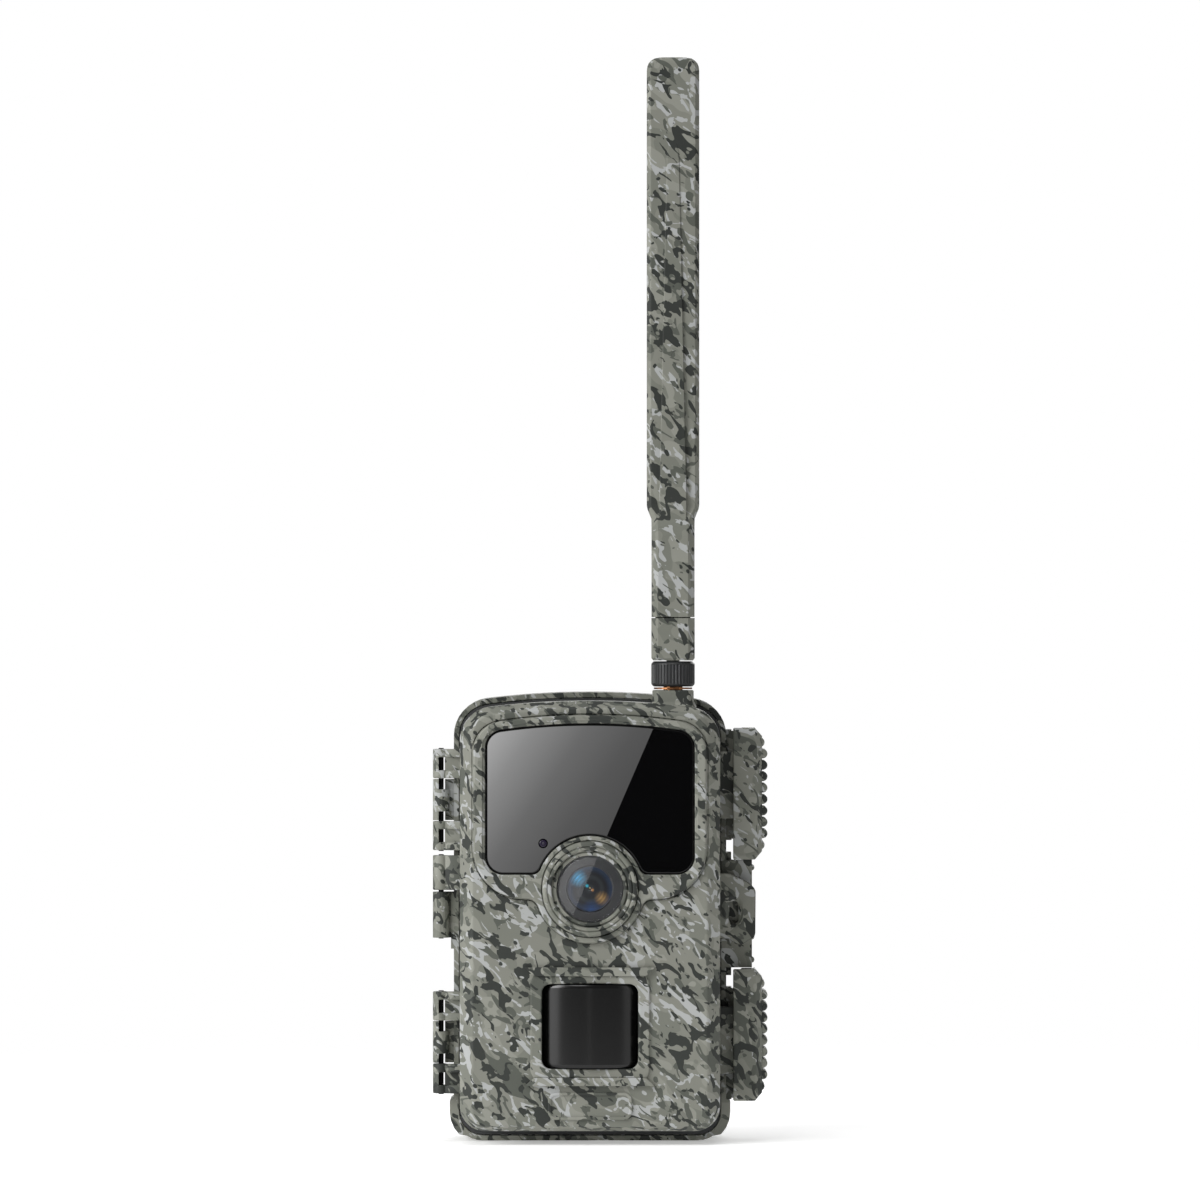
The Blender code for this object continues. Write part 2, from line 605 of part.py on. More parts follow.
def makeAntenna():
    spot = (antennaX, antennaY)
    socket = ((0, 130.5), (4.6, 130.5), (4.6, 133.0), (3.0, 133.0), (3.0, 142.0), (6.0, 142.0), (6.0, 142.5),
              (3.0, 142.5), (3.0, 149.6), (2.4, 149.6), (2.4, 143.5), (0, 143.5))
    part(lathe("antenna_socket", "z", spot, socket, 20), "brass")
    part(makeNut(spot), "blackMatte", (*spot, 146.5))
    part(makeAntennaBase(spot), "camo", (*spot, 157.0))
    part(makeBlade(spot), "camo", (antennaX, foldY, foldZ))
    pin = rod("antenna_pin", "x", (foldY, foldZ), 0.9, antennaX - 5.4, antennaX + 5.4, 10)
    part(pin, "steel", (antennaX, foldY, foldZ))


def makeNut(spot):
    rings = []
    for z, top, low in ((142.8, 6.2, 6.2), (143.5, 6.8, 6.45), (149.8, 6.8, 6.45), (150.7, 6.1, 6.1)):
        ring = []
        for i in range(40):
            a, radius = 2 * math.pi * i / 40, low if i % 2 else top
            ring.append((spot[0] + radius * math.cos(a), spot[1] + radius * math.sin(a), z))
        rings.append(ring)
    return cut(loft("antenna_nut", rings), rod("nut_bore", "z", spot, 3.35, 140, 153, 16))


def foldBarrel(name, xs, growth=0.0):
    return rod(name, "x", (foldY, foldZ), 2.3 + growth, *xs, 14)


def makeAntennaBase(spot):
    rings = []
    for z, half, corner in ((151.0, 6.2, 1.9), (151.7, 6.75, 2.0), (164.25, 6.75, 2.0)):
        rings.append([(x, y, z) for x, y in chamfered(spot, half, half, corner)])
    base = loft("antenna_base", rings)
    add(base, rod("base_spigot", "z", spot, 2.05, 144.2, 152.0, 14))
    for sign in (-1, 1):
        xs = sorted((spot[0] + sign * 1.7, spot[0] + sign * 5.8))
        cut(base, foldBarrel(f"base_room_{sign}", xs, 0.35))
    add(base, foldBarrel("base_barrel", (spot[0] - 1.7, spot[0] + 1.7)))
    return cut(base, rod("base_pin_hole", "x", (foldY, foldZ), 1.2, spot[0] - 8, spot[0] + 8, 10))


def makeBlade(spot):
    """The neck widens at a shoulder into the flat blade, which ends in rounded corners."""
    levels = ((164.55, 6.7, 6.7, 2.0), (190.0, 6.7, 6.7, 2.0), (193.0, 6.7, 6.3, 1.9), (195.3, 6.75, 5.4, 1.7),
              (197.2, 7.5, 4.55, 1.5), (198.4, 8.0, 4.1, 1.35), (199.6, 8.2, 3.85, 1.3),
              (335.7, 8.2, 3.0, 1.2), (336.9, 8.05, 2.97, 1.2), (338.0, 7.6, 2.9, 1.2),
              (338.8, 6.85, 2.75, 1.15), (339.45, 5.8, 2.5, 1.1), (339.8, 4.2, 2.0, 1.0))
    rings = [[(x, y, z) for x, y in chamfered(spot, a, b, c)] for z, a, b, c in levels]
    blade = loft("antenna_blade", rings)
    front = antennaY
    ridge = []
    for z, half, depth in ((193.0, 4.9, 5.6), (203.0, 4.9, 4.9), (310.0, 2.6, 3.3), (316.0, 1.2, 3.0)):
        ridge.append([(spot[0] - half, front, z), (spot[0] - half + 0.8, front - depth, z),
                      (spot[0] + half - 0.8, front - depth, z), (spot[0] + half, front, z)])
    add(blade, loft("blade_ridge", ridge))
    cut(blade, foldBarrel("blade_room", (spot[0] - 2.0, spot[0] + 2.0), 0.35))
    for sign in (-1, 1):
        xs = sorted((spot[0] + sign * 2.0, spot[0] + sign * 5.5))
        add(blade, foldBarrel(f"blade_barrel_{sign}", xs))
    return cut(blade, rod("blade_pin_hole", "x", (foldY, foldZ), 1.2, spot[0] - 8, spot[0] + 8, 10))


clearScene()
pieces = makeCollection("trail_camera")
helpers = makeCollection("cutters")
helpers.hide_render = True
makeRearShell()
makeFrontShell()
for latchEnd in latchLow:
    makeLatch(latchEnd)
makePins()
makeGasket()
makeBracket()
makeTripodInsert()
makeTray()
makeCells()
for springNumber, springX in enumerate(cellColumns, 1):
    makeSpring(springNumber, springX)
makeDoorInside()
makeControls()
makeAntenna()
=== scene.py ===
import math

import bmesh
import bpy
import numpy as np
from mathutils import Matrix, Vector
from mathutils.geometry import delaunay_2d_cdt


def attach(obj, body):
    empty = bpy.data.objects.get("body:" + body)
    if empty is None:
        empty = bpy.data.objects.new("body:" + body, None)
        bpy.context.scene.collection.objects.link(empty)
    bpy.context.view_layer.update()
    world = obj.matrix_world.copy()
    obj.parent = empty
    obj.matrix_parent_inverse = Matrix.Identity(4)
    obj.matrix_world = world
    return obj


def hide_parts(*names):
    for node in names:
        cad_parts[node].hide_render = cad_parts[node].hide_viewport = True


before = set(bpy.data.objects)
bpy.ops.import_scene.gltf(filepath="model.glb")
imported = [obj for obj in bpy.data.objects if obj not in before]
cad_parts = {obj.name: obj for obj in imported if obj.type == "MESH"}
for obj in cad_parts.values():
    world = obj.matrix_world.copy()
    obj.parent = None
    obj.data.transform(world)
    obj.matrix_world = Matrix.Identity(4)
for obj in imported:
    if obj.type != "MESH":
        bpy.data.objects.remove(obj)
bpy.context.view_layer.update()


mm = 0.001
seamY = -8.0
lensCentre = (0.0, 79.8)


# Loops are n x 2 arrays in millimetres, anticlockwise; a shape is (points, faces).

def arcLoop(centre, radius, start, end, count):
    a = np.radians(np.linspace(start, end, count + 1))
    return np.c_[centre[0] + radius * np.cos(a), centre[1] + radius * np.sin(a)]


def mirrored(loop):
    return (loop * [-1, 1])[::-1]


outlineSteps = {"corner": 14, "arch": 56}


def archLoop(spec, side=0.0, shares=(1.0, 1.0)):
    # A box with an arched top: corner circles tangent to the sides and to the big arch circle. Its sides
    # are drawn in by a distance, its foot and its crown by the two shares of it.
    corner, arch = outlineSteps["corner"], outlineSteps["arch"]
    low, top = side * shares[0], side * shares[1]
    half, bottom, peak = spec["half"] - side, spec["bottom"] + low, spec["peak"] - top
    big = spec["arch"] - top
    upper, lower = max(spec["upper"] - side, 0.4), max(spec["lower"] - max(side, low), 0.4)
    centre = peak - big
    rise = math.sqrt((big - upper) ** 2 - (half - upper) ** 2)
    lean = math.degrees(math.atan2(rise, half - upper))
    right = np.r_[arcLoop((half - lower, bottom + lower), lower, -90, 0, corner),
                  arcLoop((half - upper, centre + rise), upper, 0, lean, corner)]
    crown = arcLoop((0, centre), big, lean, 180 - lean, arch)[1:-1]
    return np.r_[right, crown, mirrored(right)]


def softCorners(points, radius, steps=6):
    # Each corner becomes a quadratic curve that starts and ends a little way along its two edges.
    p = np.array(points, float)
    back, ahead = np.roll(p, 1, 0) - p, np.roll(p, -1, 0) - p
    reach = np.minimum(np.linalg.norm(back, axis=1), np.linalg.norm(ahead, axis=1)) * 0.48
    reach = np.minimum(reach, radius)[:, None]
    a = p + back / np.linalg.norm(back, axis=1, keepdims=True) * reach
    b = p + ahead / np.linalg.norm(ahead, axis=1, keepdims=True) * reach
    t = np.linspace(0, 1, steps + 1)[None, :, None]
    curve = a[:, None] * (1 - t) ** 2 + 2 * p[:, None] * t * (1 - t) + b[:, None] * t ** 2
    return curve.reshape(-1, 2)


def dense(loop, step):
    # Long straight runs are split so that no two neighbours lie further apart than the step.
    ahead = np.roll(loop, -1, 0)
    counts = np.maximum(1, np.ceil(np.linalg.norm(ahead - loop, axis=1) / step).astype(int))
    runs = [p + (q - p) * (np.arange(n) / n)[:, None] for p, q, n in zip(loop, ahead, counts)]
    return np.concatenate(runs)


def inset(loop, distance):
    # Every point moves in along the mean of its two edges' normals, far enough to move both edges.
    edge = np.roll(loop, -1, 0) - loop
    normal = np.c_[edge[:, 1], -edge[:, 0]] / np.maximum(np.linalg.norm(edge, axis=1, keepdims=True), 1e-9)
    before = np.roll(normal, 1, 0)
    share = 1 + (normal * before).sum(1, keepdims=True)
    return loop - distance * (normal + before) / np.maximum(share, 0.35)


def lift(loop, height, axis):
    # The loop's two coordinates fill the other two axes in order.
    columns = [loop[:, 0], loop[:, 1]]
    columns.insert("xyz".index(axis), np.full(len(loop), float(height)))
    return np.stack(columns, 1)


def skin(rows, closed=False):
    # Quads between neighbouring rings; closed joins the last ring to the first.
    rows = np.asarray(rows, float)
    m, n = rows.shape[:2]
    i = np.arange(m if closed else m - 1)[:, None]
    j = np.arange(n)[None, :]
    k, l = (i + 1) % m, (j + 1) % n
    faces = np.stack([i * n + j, i * n + l, k * n + l, k * n + j], -1).reshape(-1, 4)
    return rows.reshape(-1, 3), faces.tolist()


def tube(loop, low, high, axis):
    return skin([lift(loop, low, axis), lift(loop, high, axis)])


def within(points, loop):
    # Even-odd test: a point is inside when a ray to the right crosses the loop an odd number of times.
    x, y = points[:, :1], points[:, 1:]
    a, b = loop[None], np.roll(loop, -1, 0)[None]
    crosses = (a[..., 1] > y) != (b[..., 1] > y)
    slope = np.where(crosses, b[..., 1] - a[..., 1], 1.0)
    reach = a[..., 0] + (y - a[..., 1]) * (b[..., 0] - a[..., 0]) / slope
    return (crosses & (reach > x)).sum(1) % 2 == 1


bandWidth = 0.05


def fill(outer, holes, height, axis):
    # A narrow band along every loop, then triangles between the bands, so that the flat part shades flat.
    bands, inner = [], []
    for number, loop in enumerate((outer, *holes)):
        turn = (loop[:, 0] * np.roll(loop[:, 1], -1) - np.roll(loop[:, 0], -1) * loop[:, 1]).sum()
        way = 1 if (turn > 0) == (number == 0) else -1
        inner.append(inset(loop, bandWidth * way))
        bands.append(skin([lift(loop, height, axis), lift(inner[-1], height, axis)]))
    edges, start = [], 0
    for loop in inner:
        edges += [(start + i, start + (i + 1) % len(loop)) for i in range(len(loop))]
        start += len(loop)
    points = np.concatenate(inner)
    found = delaunay_2d_cdt([Vector(p) for p in points.tolist()], edges, [], 1, 1e-7)
    flat = np.array([tuple(v) for v in found[0]])
    triangles = np.array([list(f) for f in found[2]])
    middle = flat[triangles].mean(1)
    keep = within(middle, inner[0])
    for hole in inner[1:]:
        keep &= ~within(middle, hole)
    return bands + [(lift(flat, height, axis), triangles[keep].tolist())]


def quarter(steps):
    # The sine and one minus the cosine at even angles up to 90 degrees, for a rounded edge.
    t = np.linspace(0, np.pi / 2, steps + 1)
    return list(zip(np.sin(t), 1 - np.cos(t)))


def block(axis, loop, low, high, edge=0.4, steps=4, holes=()):
    # A flat outline extruded between two heights, with quarter-round edges at both ends and bored through.
    ends = [(inset(loop, edge * (1 - sine)), edge * rest) for sine, rest in quarter(steps)]
    rows = [lift(ring, low + rise, axis) for ring, rise in ends]
    rows += [lift(ring, high - rise, axis) for ring, rise in ends[::-1]]
    bores = [tube(hole, low, high, axis) for hole in holes]
    return [skin(rows), *bores, *[fill(inset(loop, edge), holes, h, axis) for h in (low, high)]]


longestRun = 0.5


def turned(axis, centre, profile, steps=96):
    # A profile of radius and height turned about the axis, its long runs split so that flats shade flat.
    profile = dense(np.array(profile, float), longestRun)
    a = np.linspace(0, 2 * np.pi, steps, endpoint=False)
    rows = [lift(np.c_[centre[0] + r * np.cos(a), centre[1] + r * np.sin(a)], h, axis) for r, h in profile]
    return skin(rows, True)


weldWithin = 2e-6


def piece(name, body, material, shapes, replaced=(), sharp=38):
    # Joins shapes into one mesh in metres, welds their seams and turns the faces outwards.
    flat, stack = [], list(shapes)
    while stack:
        item = stack.pop(0)
        if isinstance(item, list):
            stack = item + stack
        else:
            flat.append(item)
    points, faces, start = [], [], 0
    for verts, quads in flat:
        points.append(verts)
        faces += [[v + start for v in f] for f in quads]
        start += len(verts)
    mesh = bpy.data.meshes.new(name)
    mesh.from_pydata((np.concatenate(points) * mm).tolist(), [], faces)
    work = bmesh.new()
    work.from_mesh(mesh)
    bmesh.ops.remove_doubles(work, verts=work.verts, dist=weldWithin)
    bmesh.ops.recalc_face_normals(work, faces=work.faces)
    work.to_mesh(mesh)
    work.free()
    mesh.shade_smooth()
    mesh.set_sharp_from_angle(angle=math.radians(sharp))
    obj = bpy.data.objects.new(name, mesh)
    bpy.context.scene.collection.objects.link(obj)
    mesh.materials.append(material)
    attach(obj, body)
    if replaced:
        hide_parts(*replaced)
    return obj


def linear(rgb):
    c = np.array(rgb, float) / 255
    return tuple(np.where(c <= 0.04045, c / 12.92, ((c + 0.055) / 1.055) ** 2.4)) + (1.0,)


class Graph:
    # Short calls for wiring one material's nodes.
    def __init__(self, name):
        self.material = bpy.data.materials.new(name)
        self.material.use_nodes = True
        self.tree = self.material.node_tree
        self.shader = self.tree.nodes["Principled BSDF"]
        self.place = self.node("ShaderNodeTexCoord").outputs["Object"]

    def node(self, kind, **settings):
        made = self.tree.nodes.new(kind)
        for key, value in settings.items():
            setattr(made, key, value)
        return made

    def feed(self, socket, value):
        if isinstance(value, bpy.types.NodeSocket):
            self.tree.links.new(value, socket)
        else:
            socket.default_value = value

    def axes(self):
        made = self.node("ShaderNodeSeparateXYZ")
        self.feed(made.inputs[0], self.place)
        return made.outputs

    def mapped(self, stretch=(1, 1, 1), turn=0.0, shift=(0, 0, 0)):
        made = self.node("ShaderNodeMapping", vector_type="TEXTURE")
        self.feed(made.inputs["Vector"], self.place)
        made.inputs["Rotation"].default_value = (0, math.radians(turn), 0)
        made.inputs["Scale"].default_value = stretch
        made.inputs["Location"].default_value = shift
        return made.outputs["Vector"]

    def noise(self, vector, scale, detail=1.0, rough=0.5, warp=0.0):
        made = self.node("ShaderNodeTexNoise")
        self.feed(made.inputs["Vector"], vector)
        for key, value in (("Scale", scale), ("Detail", detail), ("Roughness", rough), ("Distortion", warp)):
            made.inputs[key].default_value = value
        return made.outputs["Fac"]

    def cells(self, vector, scale):
        made = self.node("ShaderNodeTexVoronoi", feature="F1")
        self.feed(made.inputs["Vector"], vector)
        made.inputs["Scale"].default_value = scale
        return made

    def maths(self, how, a, b=0.0):
        made = self.node("ShaderNodeMath", operation=how)
        for socket, value in zip(made.inputs, (a, b)):
            self.feed(socket, value)
        return made.outputs[0]

    def ramp(self, value, low, high, start=0.0, end=1.0):
        made = self.node("ShaderNodeMapRange", clamp=True)
        for socket, v in zip(made.inputs, (value, low, high, start, end)):
            self.feed(socket, v)
        return made.outputs["Result"]

    def mix(self, fac, a, b):
        made = self.node("ShaderNodeMix", data_type="RGBA")
        self.feed(made.inputs["Factor"], fac)
        self.feed(made.inputs[6], a)
        self.feed(made.inputs[7], b)
        return made.outputs[2]

    def bump(self, height, strength, distance):
        made = self.node("ShaderNodeBump")
        made.inputs["Strength"].default_value = strength
        made.inputs["Distance"].default_value = distance
        self.feed(made.inputs["Height"], height)
        return made.outputs["Normal"]

    def finish(self, colour, rough, normal=None, **constants):
        self.feed(self.shader.inputs["Base Color"], colour)
        self.feed(self.shader.inputs["Roughness"], rough)
        if normal is not None:
            self.feed(self.shader.inputs["Normal"], normal)
        for key, value in constants.items():
            self.shader.inputs[key.replace("_", " ")].default_value = value
        return self.material


camoTones = {
    "olive": (129, 130, 121), "olivePale": (141, 142, 133), "oliveDeep": (117, 119, 110),
    "dark": (84, 87, 80), "darkest": (46, 49, 46), "fleck": (172, 174, 173),
}

# Each field is (stretch, scale, seed, detail, roughness, warp), and its cut is where the tone begins.
camoFields = {
    "drift": (1.5, 70, 0.31, 0, 0.4, 0.3), "oliveDeep": (1.6, 130, 0.11, 0.9, 0.4, 0.5),
    "olivePale": (1.7, 150, 0.57, 0.9, 0.4, 0.5), "fleck": (2.1, 232, 1.91, 1.8, 0.5, 1.7),
    "dark": (1.8, 220, 0.93, 1.8, 0.45, 1.0), "darkest": (1.8, 230, 1.37, 1.8, 0.45, 1.0),
}
camoCuts = {"oliveDeep": 0.545, "olivePale": 0.585, "fleck": 0.45, "dark": 0.715, "darkest": 0.708}
camo = {"turn": 45, "edge": 0.005, "fine": 1.08, "holes": 330, "rough": (0.5, 0.64)}


def camoMaterial():
    # Dipped camouflage: streaks that run down to the right, cut from warped noise at fixed levels.
    g = Graph("camoShell")
    tone = {key: linear(value) for key, value in camoTones.items()}

    def level(value, key):
        return g.ramp(value, camoCuts[key] - camo["edge"], camoCuts[key] + camo["edge"])

    def field(key):
        along, scale, seed, detail, rough, warp = camoFields[key]
        vector = g.mapped((along, 1, 1), camo["turn"], (seed, seed * 0.7, -seed))
        return g.noise(vector, scale * camo["fine"], detail, rough, warp)

    def islands(colour, value, key, seed, limit):
        # A patch of one tone with small round holes left in it.
        hole = g.cells(g.mapped((1.5, 1, 1), camo["turn"], (seed, 0.3, 0.1)), camo["holes"] * camo["fine"])
        keep = g.ramp(hole.outputs["Distance"], limit, limit + 0.05)
        solid = g.maths("GREATER_THAN", g.noise(g.place, 150, 0), 0.47)
        keep = g.maths("MAXIMUM", keep, solid)
        return g.mix(g.maths("MULTIPLY", level(value, key), keep), colour, tone[key])

    def dots(stretch, seed, scale):
        found = g.cells(g.mapped(stretch, camo["turn"], seed), scale)
        return g.ramp(found.outputs["Distance"], 0.2, 0.16)

    drift = field("drift")
    colour = g.mix(level(field("oliveDeep"), "oliveDeep"), tone["olive"], tone["oliveDeep"])
    colour = g.mix(level(field("olivePale"), "olivePale"), colour, tone["olivePale"])
    pale = g.maths("SUBTRACT", field("fleck"), g.maths("MULTIPLY", drift, 0.3))
    colour = g.mix(level(pale, "fleck"), colour, tone["fleck"])
    dark = g.maths("ADD", field("dark"), g.maths("MULTIPLY", drift, 0.25))
    colour = islands(colour, dark, "dark", 0.2, 0.2)
    deep = g.maths("ADD", field("darkest"), g.maths("MULTIPLY", drift, 0.25))
    colour = islands(colour, deep, "darkest", 0.8, 0.24)
    spot = dots((1.4, 1, 1), (0.2, 0.1, 0), 300)
    spot = g.maths("MULTIPLY", spot, g.maths("GREATER_THAN", g.noise(g.place, 90, 0), 0.58))
    colour = g.mix(spot, colour, tone["darkest"])
    light = dots((1.3, 1, 1), (0.7, 0.3, 0.4), 260)
    light = g.maths("MULTIPLY", light, g.maths("GREATER_THAN", drift, 0.53))
    colour = g.mix(light, colour, tone["oliveDeep"])
    grain = g.noise(g.place, 2600, 3, 0.6)
    wash = g.noise(g.place, 30, 3, 0.6)
    colour = g.mix(g.ramp(wash, 0.35, 0.65, 0.0, 0.08), colour, tone["dark"])
    rough = g.ramp(grain, 0.3, 0.7, *camo["rough"])
    return g.finish(colour, rough, g.bump(grain, 0.12, 0.00008), Specular_IOR_Level=0.3)


def plasticMaterial(name, tone, roughLow, roughHigh, grainScale=1800, depth=0.00006, **constants):
    # Moulded plastic: fine spark grain with a slow change of colour and gloss.
    g = Graph(name)
    grain, wash = g.noise(g.place, grainScale, 3, 0.6), g.noise(g.place, 45, 3, 0.6)
    paler = linear([min(255, c * 1.18 + 2) for c in tone])
    colour = g.mix(g.ramp(wash, 0.3, 0.7), linear(tone), paler)
    rough = g.ramp(grain, 0.3, 0.7, roughLow, roughHigh)
    return g.finish(colour, rough, g.bump(grain, 0.3, depth), **constants)


def glossMaterial(name, tone, rough=0.03, **constants):
    # Polished plastic or glass front with faint wipe marks in its gloss.
    g = Graph(name)
    marks = g.noise(g.mapped((4, 1, 1), 30), 160, 4, 0.65)
    dust = g.noise(g.place, 1500, 2, 0.5)
    colour = g.mix(g.ramp(dust, 0.62, 0.75, 0.0, 0.25), linear(tone), linear([c + 8 for c in tone]))
    return g.finish(colour, g.ramp(marks, 0.4, 0.75, rough, rough + 0.006), None, **constants)


def metalMaterial(name, tone, roughLow, roughHigh, along=(1, 1, 1)):
    # Turned or drawn metal: fine lines along one way, duller in patches.
    g = Graph(name)
    lines = g.noise(g.mapped(along), 2200, 3, 0.6)
    patches = g.noise(g.place, 120, 4, 0.6)
    colour = g.mix(g.ramp(patches, 0.35, 0.7), linear(tone), linear([c * 0.82 for c in tone]))
    rough = g.ramp(lines, 0.3, 0.7, roughLow, roughHigh)
    return g.finish(colour, rough, g.bump(lines, 0.2, 0.00003), Metallic=1.0)


def boardMaterial():
    # Solder mask over copper: pale traces at right angles and small round vias.
    g = Graph("circuitBoard")
    axes, upright, brick = g.axes(), g.node("ShaderNodeCombineXYZ"), g.node("ShaderNodeTexBrick")
    g.feed(upright.inputs[0], axes[0])
    g.feed(upright.inputs[1], axes[2])
    g.feed(brick.inputs["Vector"], upright.outputs[0])
    brick.inputs["Scale"].default_value = 260
    brick.inputs["Mortar Size"].default_value = 0.04
    vias = g.cells(g.place, 420)
    colour = g.mix(brick.outputs["Fac"], linear((18, 74, 44)), linear((40, 112, 66)))
    colour = g.mix(g.ramp(vias.outputs["Distance"], 0.16, 0.12), colour, linear((196, 176, 120)))
    return g.finish(colour, 0.4, g.bump(brick.outputs["Fac"], 0.3, 0.00005))


cellBands = {"lower": (0.0605, 0.0745), "upper": 0.1140, "edge": 0.0002}


def cellMaterial():
    # A printed sleeve: a copper-coloured band at the top of each cell over dark plastic, with fine scuffs.
    g = Graph("cellSleeve")
    z, (start, end), edge = g.axes()[2], cellBands["lower"], cellBands["edge"]
    band = g.maths("MULTIPLY", g.ramp(z, start, start + edge), g.ramp(z, end, end - edge))
    band = g.maths("MAXIMUM", band, g.ramp(z, cellBands["upper"], cellBands["upper"] + edge))
    scuff = g.noise(g.mapped((1, 1, 6)), 700, 4, 0.6)
    colour = g.mix(band, linear((34, 36, 40)), linear((176, 112, 66)))
    colour = g.mix(g.ramp(scuff, 0.6, 0.75, 0, 0.4), colour, linear((120, 120, 122)))
    return g.finish(colour, g.ramp(scuff, 0.3, 0.7, 0.25, 0.42), g.bump(scuff, 0.1, 0.00004), Metallic=0.5)


display = {"half": 0.0226, "low": 0.0948, "high": 0.1232, "edge": 0.0002}


def screenMaterial():
    # A dark display behind polished plastic, its frame a little lighter than the glass.
    g = Graph("screenGlass")
    axes, edge = g.axes(), display["edge"]
    side = g.ramp(g.maths("ABSOLUTE", axes[0]), display["half"], display["half"] + edge)
    above = g.ramp(axes[2], display["high"], display["high"] + edge)
    ends = g.maths("MAXIMUM", above, g.ramp(axes[2], display["low"], display["low"] - edge))
    dust = g.noise(g.place, 1200, 3, 0.6)
    colour = g.mix(g.maths("MAXIMUM", side, ends), linear((20, 26, 34)), linear((8, 8, 9)))
    return g.finish(colour, g.ramp(dust, 0.4, 0.7, 0.04, 0.1), None, Coat_Weight=0.6)


print("materials")
camoShell = camoMaterial()
panelBlack = glossMaterial("panelBlack", (5, 5, 6), 0.0, Specular_IOR_Level=0.5)
# Near-black for narrow gaps: painted shade, standing in for the shadow inside them.
gapShadeBlack = plasticMaterial("gapShadeBlack", (4, 4, 4), 0.7, 0.85)
barrelBlack = plasticMaterial("barrelBlack", (34, 34, 35), 0.5, 0.65, 2400)
sheetDark = plasticMaterial("sensorSheet", (6, 6, 6), 0.2, 0.22, 3200, 0.000001,
                            Specular_IOR_Level=0.42)
nutBlack = plasticMaterial("nutBlack", (40, 41, 42), 0.36, 0.5, 1500, 0.00005)
innerBlack = plasticMaterial("innerPlastic", (30, 31, 31), 0.45, 0.62)
rubberGrey = plasticMaterial("buttonRubber", (44, 45, 46), 0.6, 0.78, 1200, 0.00008)
bracketGrey = plasticMaterial("bracketPlastic", (62, 64, 62), 0.5, 0.66, 1400, 0.0001)
pinDark = metalMaterial("pinSteel", (38, 38, 40), 0.35, 0.5, (1, 1, 8))
steel = metalMaterial("plainSteel", (176, 177, 180), 0.22, 0.38)
brass = metalMaterial("turnedBrass", (150, 104, 70), 0.3, 0.44, (6, 6, 1))
board = boardMaterial()
cell = cellMaterial()
screen = screenMaterial()
violet = glossMaterial("sensorViolet", (30, 22, 44), 0.06)


front = {
    "outline": {"half": 40.65, "bottom": 4.1, "peak": 138.4, "arch": 258.0, "upper": 10.5, "lower": 8.0},
    "ridge": {"half": 36.1, "bottom": 77.0, "peak": 133.7, "arch": 200.0, "upper": 9.3, "lower": 15.4},
    "panel": {"half": 32.35, "bottom": 84.6, "peak": 131.1, "arch": 196.0, "upper": 5.3, "lower": 5.3},
    "faceY": -34.0, "wall": 2.5, "ridgeY": -35.6, "ringY": -37.0, "notch": 16.9, "collar": 16.7,
    "pirHole": (15.05, 23.7, 50.2), "pirCorner": 2.9, "lensHole": 10.4, "ringSeat": 15.2,
    "groove": 0.6, "grooveWide": 0.32, "lining": 2.4, "bevel": 4.3, "bevelShares": (0.46, 0.62),
}


def panelLoop(grow):
    # The arched panel outline joined to a round notch over the lens by two small fillets.
    spec, fillet = front["panel"], 3.0
    outline = archLoop(spec, -grow)
    base, radius = spec["bottom"] - grow, front["notch"] - grow
    rise = base + fillet - lensCentre[1]
    x = math.sqrt((radius + fillet) ** 2 - rise ** 2)
    turn = math.degrees(math.atan2(rise, x))
    left = arcLoop((-x, base + fillet), fillet, -90, -turn, 10)
    notch = arcLoop(lensCentre, radius, 180 - turn, turn, 48)[1:-1]
    return np.r_[outline, left, notch, mirrored(left)]


def softBox(x0, x1, z0, z1, radius, steps=8):
    corners = []
    for cx, cz, start in ((x1 - radius, z0 + radius, -90), (x1 - radius, z1 - radius, 0),
                          (x0 + radius, z1 - radius, 90), (x0 + radius, z0 + radius, 180)):
        corners.append(arcLoop((cx, cz), radius, start, start + 90, steps))
    return np.concatenate(corners)


def frontSkin():
    # Ring after ring round the outline: inner wall, rim, side, and the soft edge that leads to the flat face.
    spec, face, lining = front["outline"], front["faceY"], front["lining"]
    walls = ((face + front["wall"], lining), (seamY - 0.6, lining), (seamY - 0.3, lining - 0.3),
             (seamY - 0.3, 0.35), (seamY - 0.65, 0.0))
    bevel = ((-29.9, 0.0), (-30.25, 0.08), (-30.55, 0.3), (-30.8, 0.55), (-33.1, 3.0), (-33.4, 3.3),
             (-33.7, 3.62), (-33.92, 3.95), (face, front["bevel"]))
    rows = [lift(archLoop(spec, d), y, "y") for y, d in walls]
    return skin(rows + [lift(archLoop(spec, d, front["bevelShares"]), y, "y") for y, d in bevel])


def frontFaces():
    # The flat face stops at a fine groove round the raised lip. Behind it, the inner side is pierced for the
    # panel, the lens and the sensor window.
    spec, face, depth = front["outline"], front["faceY"], front["groove"]
    half, low, high = front["pirHole"]
    window = softBox(-half, half, low, high, front["pirCorner"])[::-1]
    holes = [panelLoop(0.3)[::-1], arcLoop(lensCentre, front["lensHole"], 0, 360, 72)[:-1][::-1]]
    around = grooveLoop()[::-1]
    back = face + front["wall"]
    shapes = [fill(archLoop(spec, front["bevel"], front["bevelShares"]), [around, window], face, "y"),
              fill(archLoop(spec, front["lining"]), holes + [window], back, "y"),
              tube(around, face, face + depth, "y"), tube(window, face, back, "y")]
    return shapes + [tube(h, face + depth, back, "y") for h in holes]


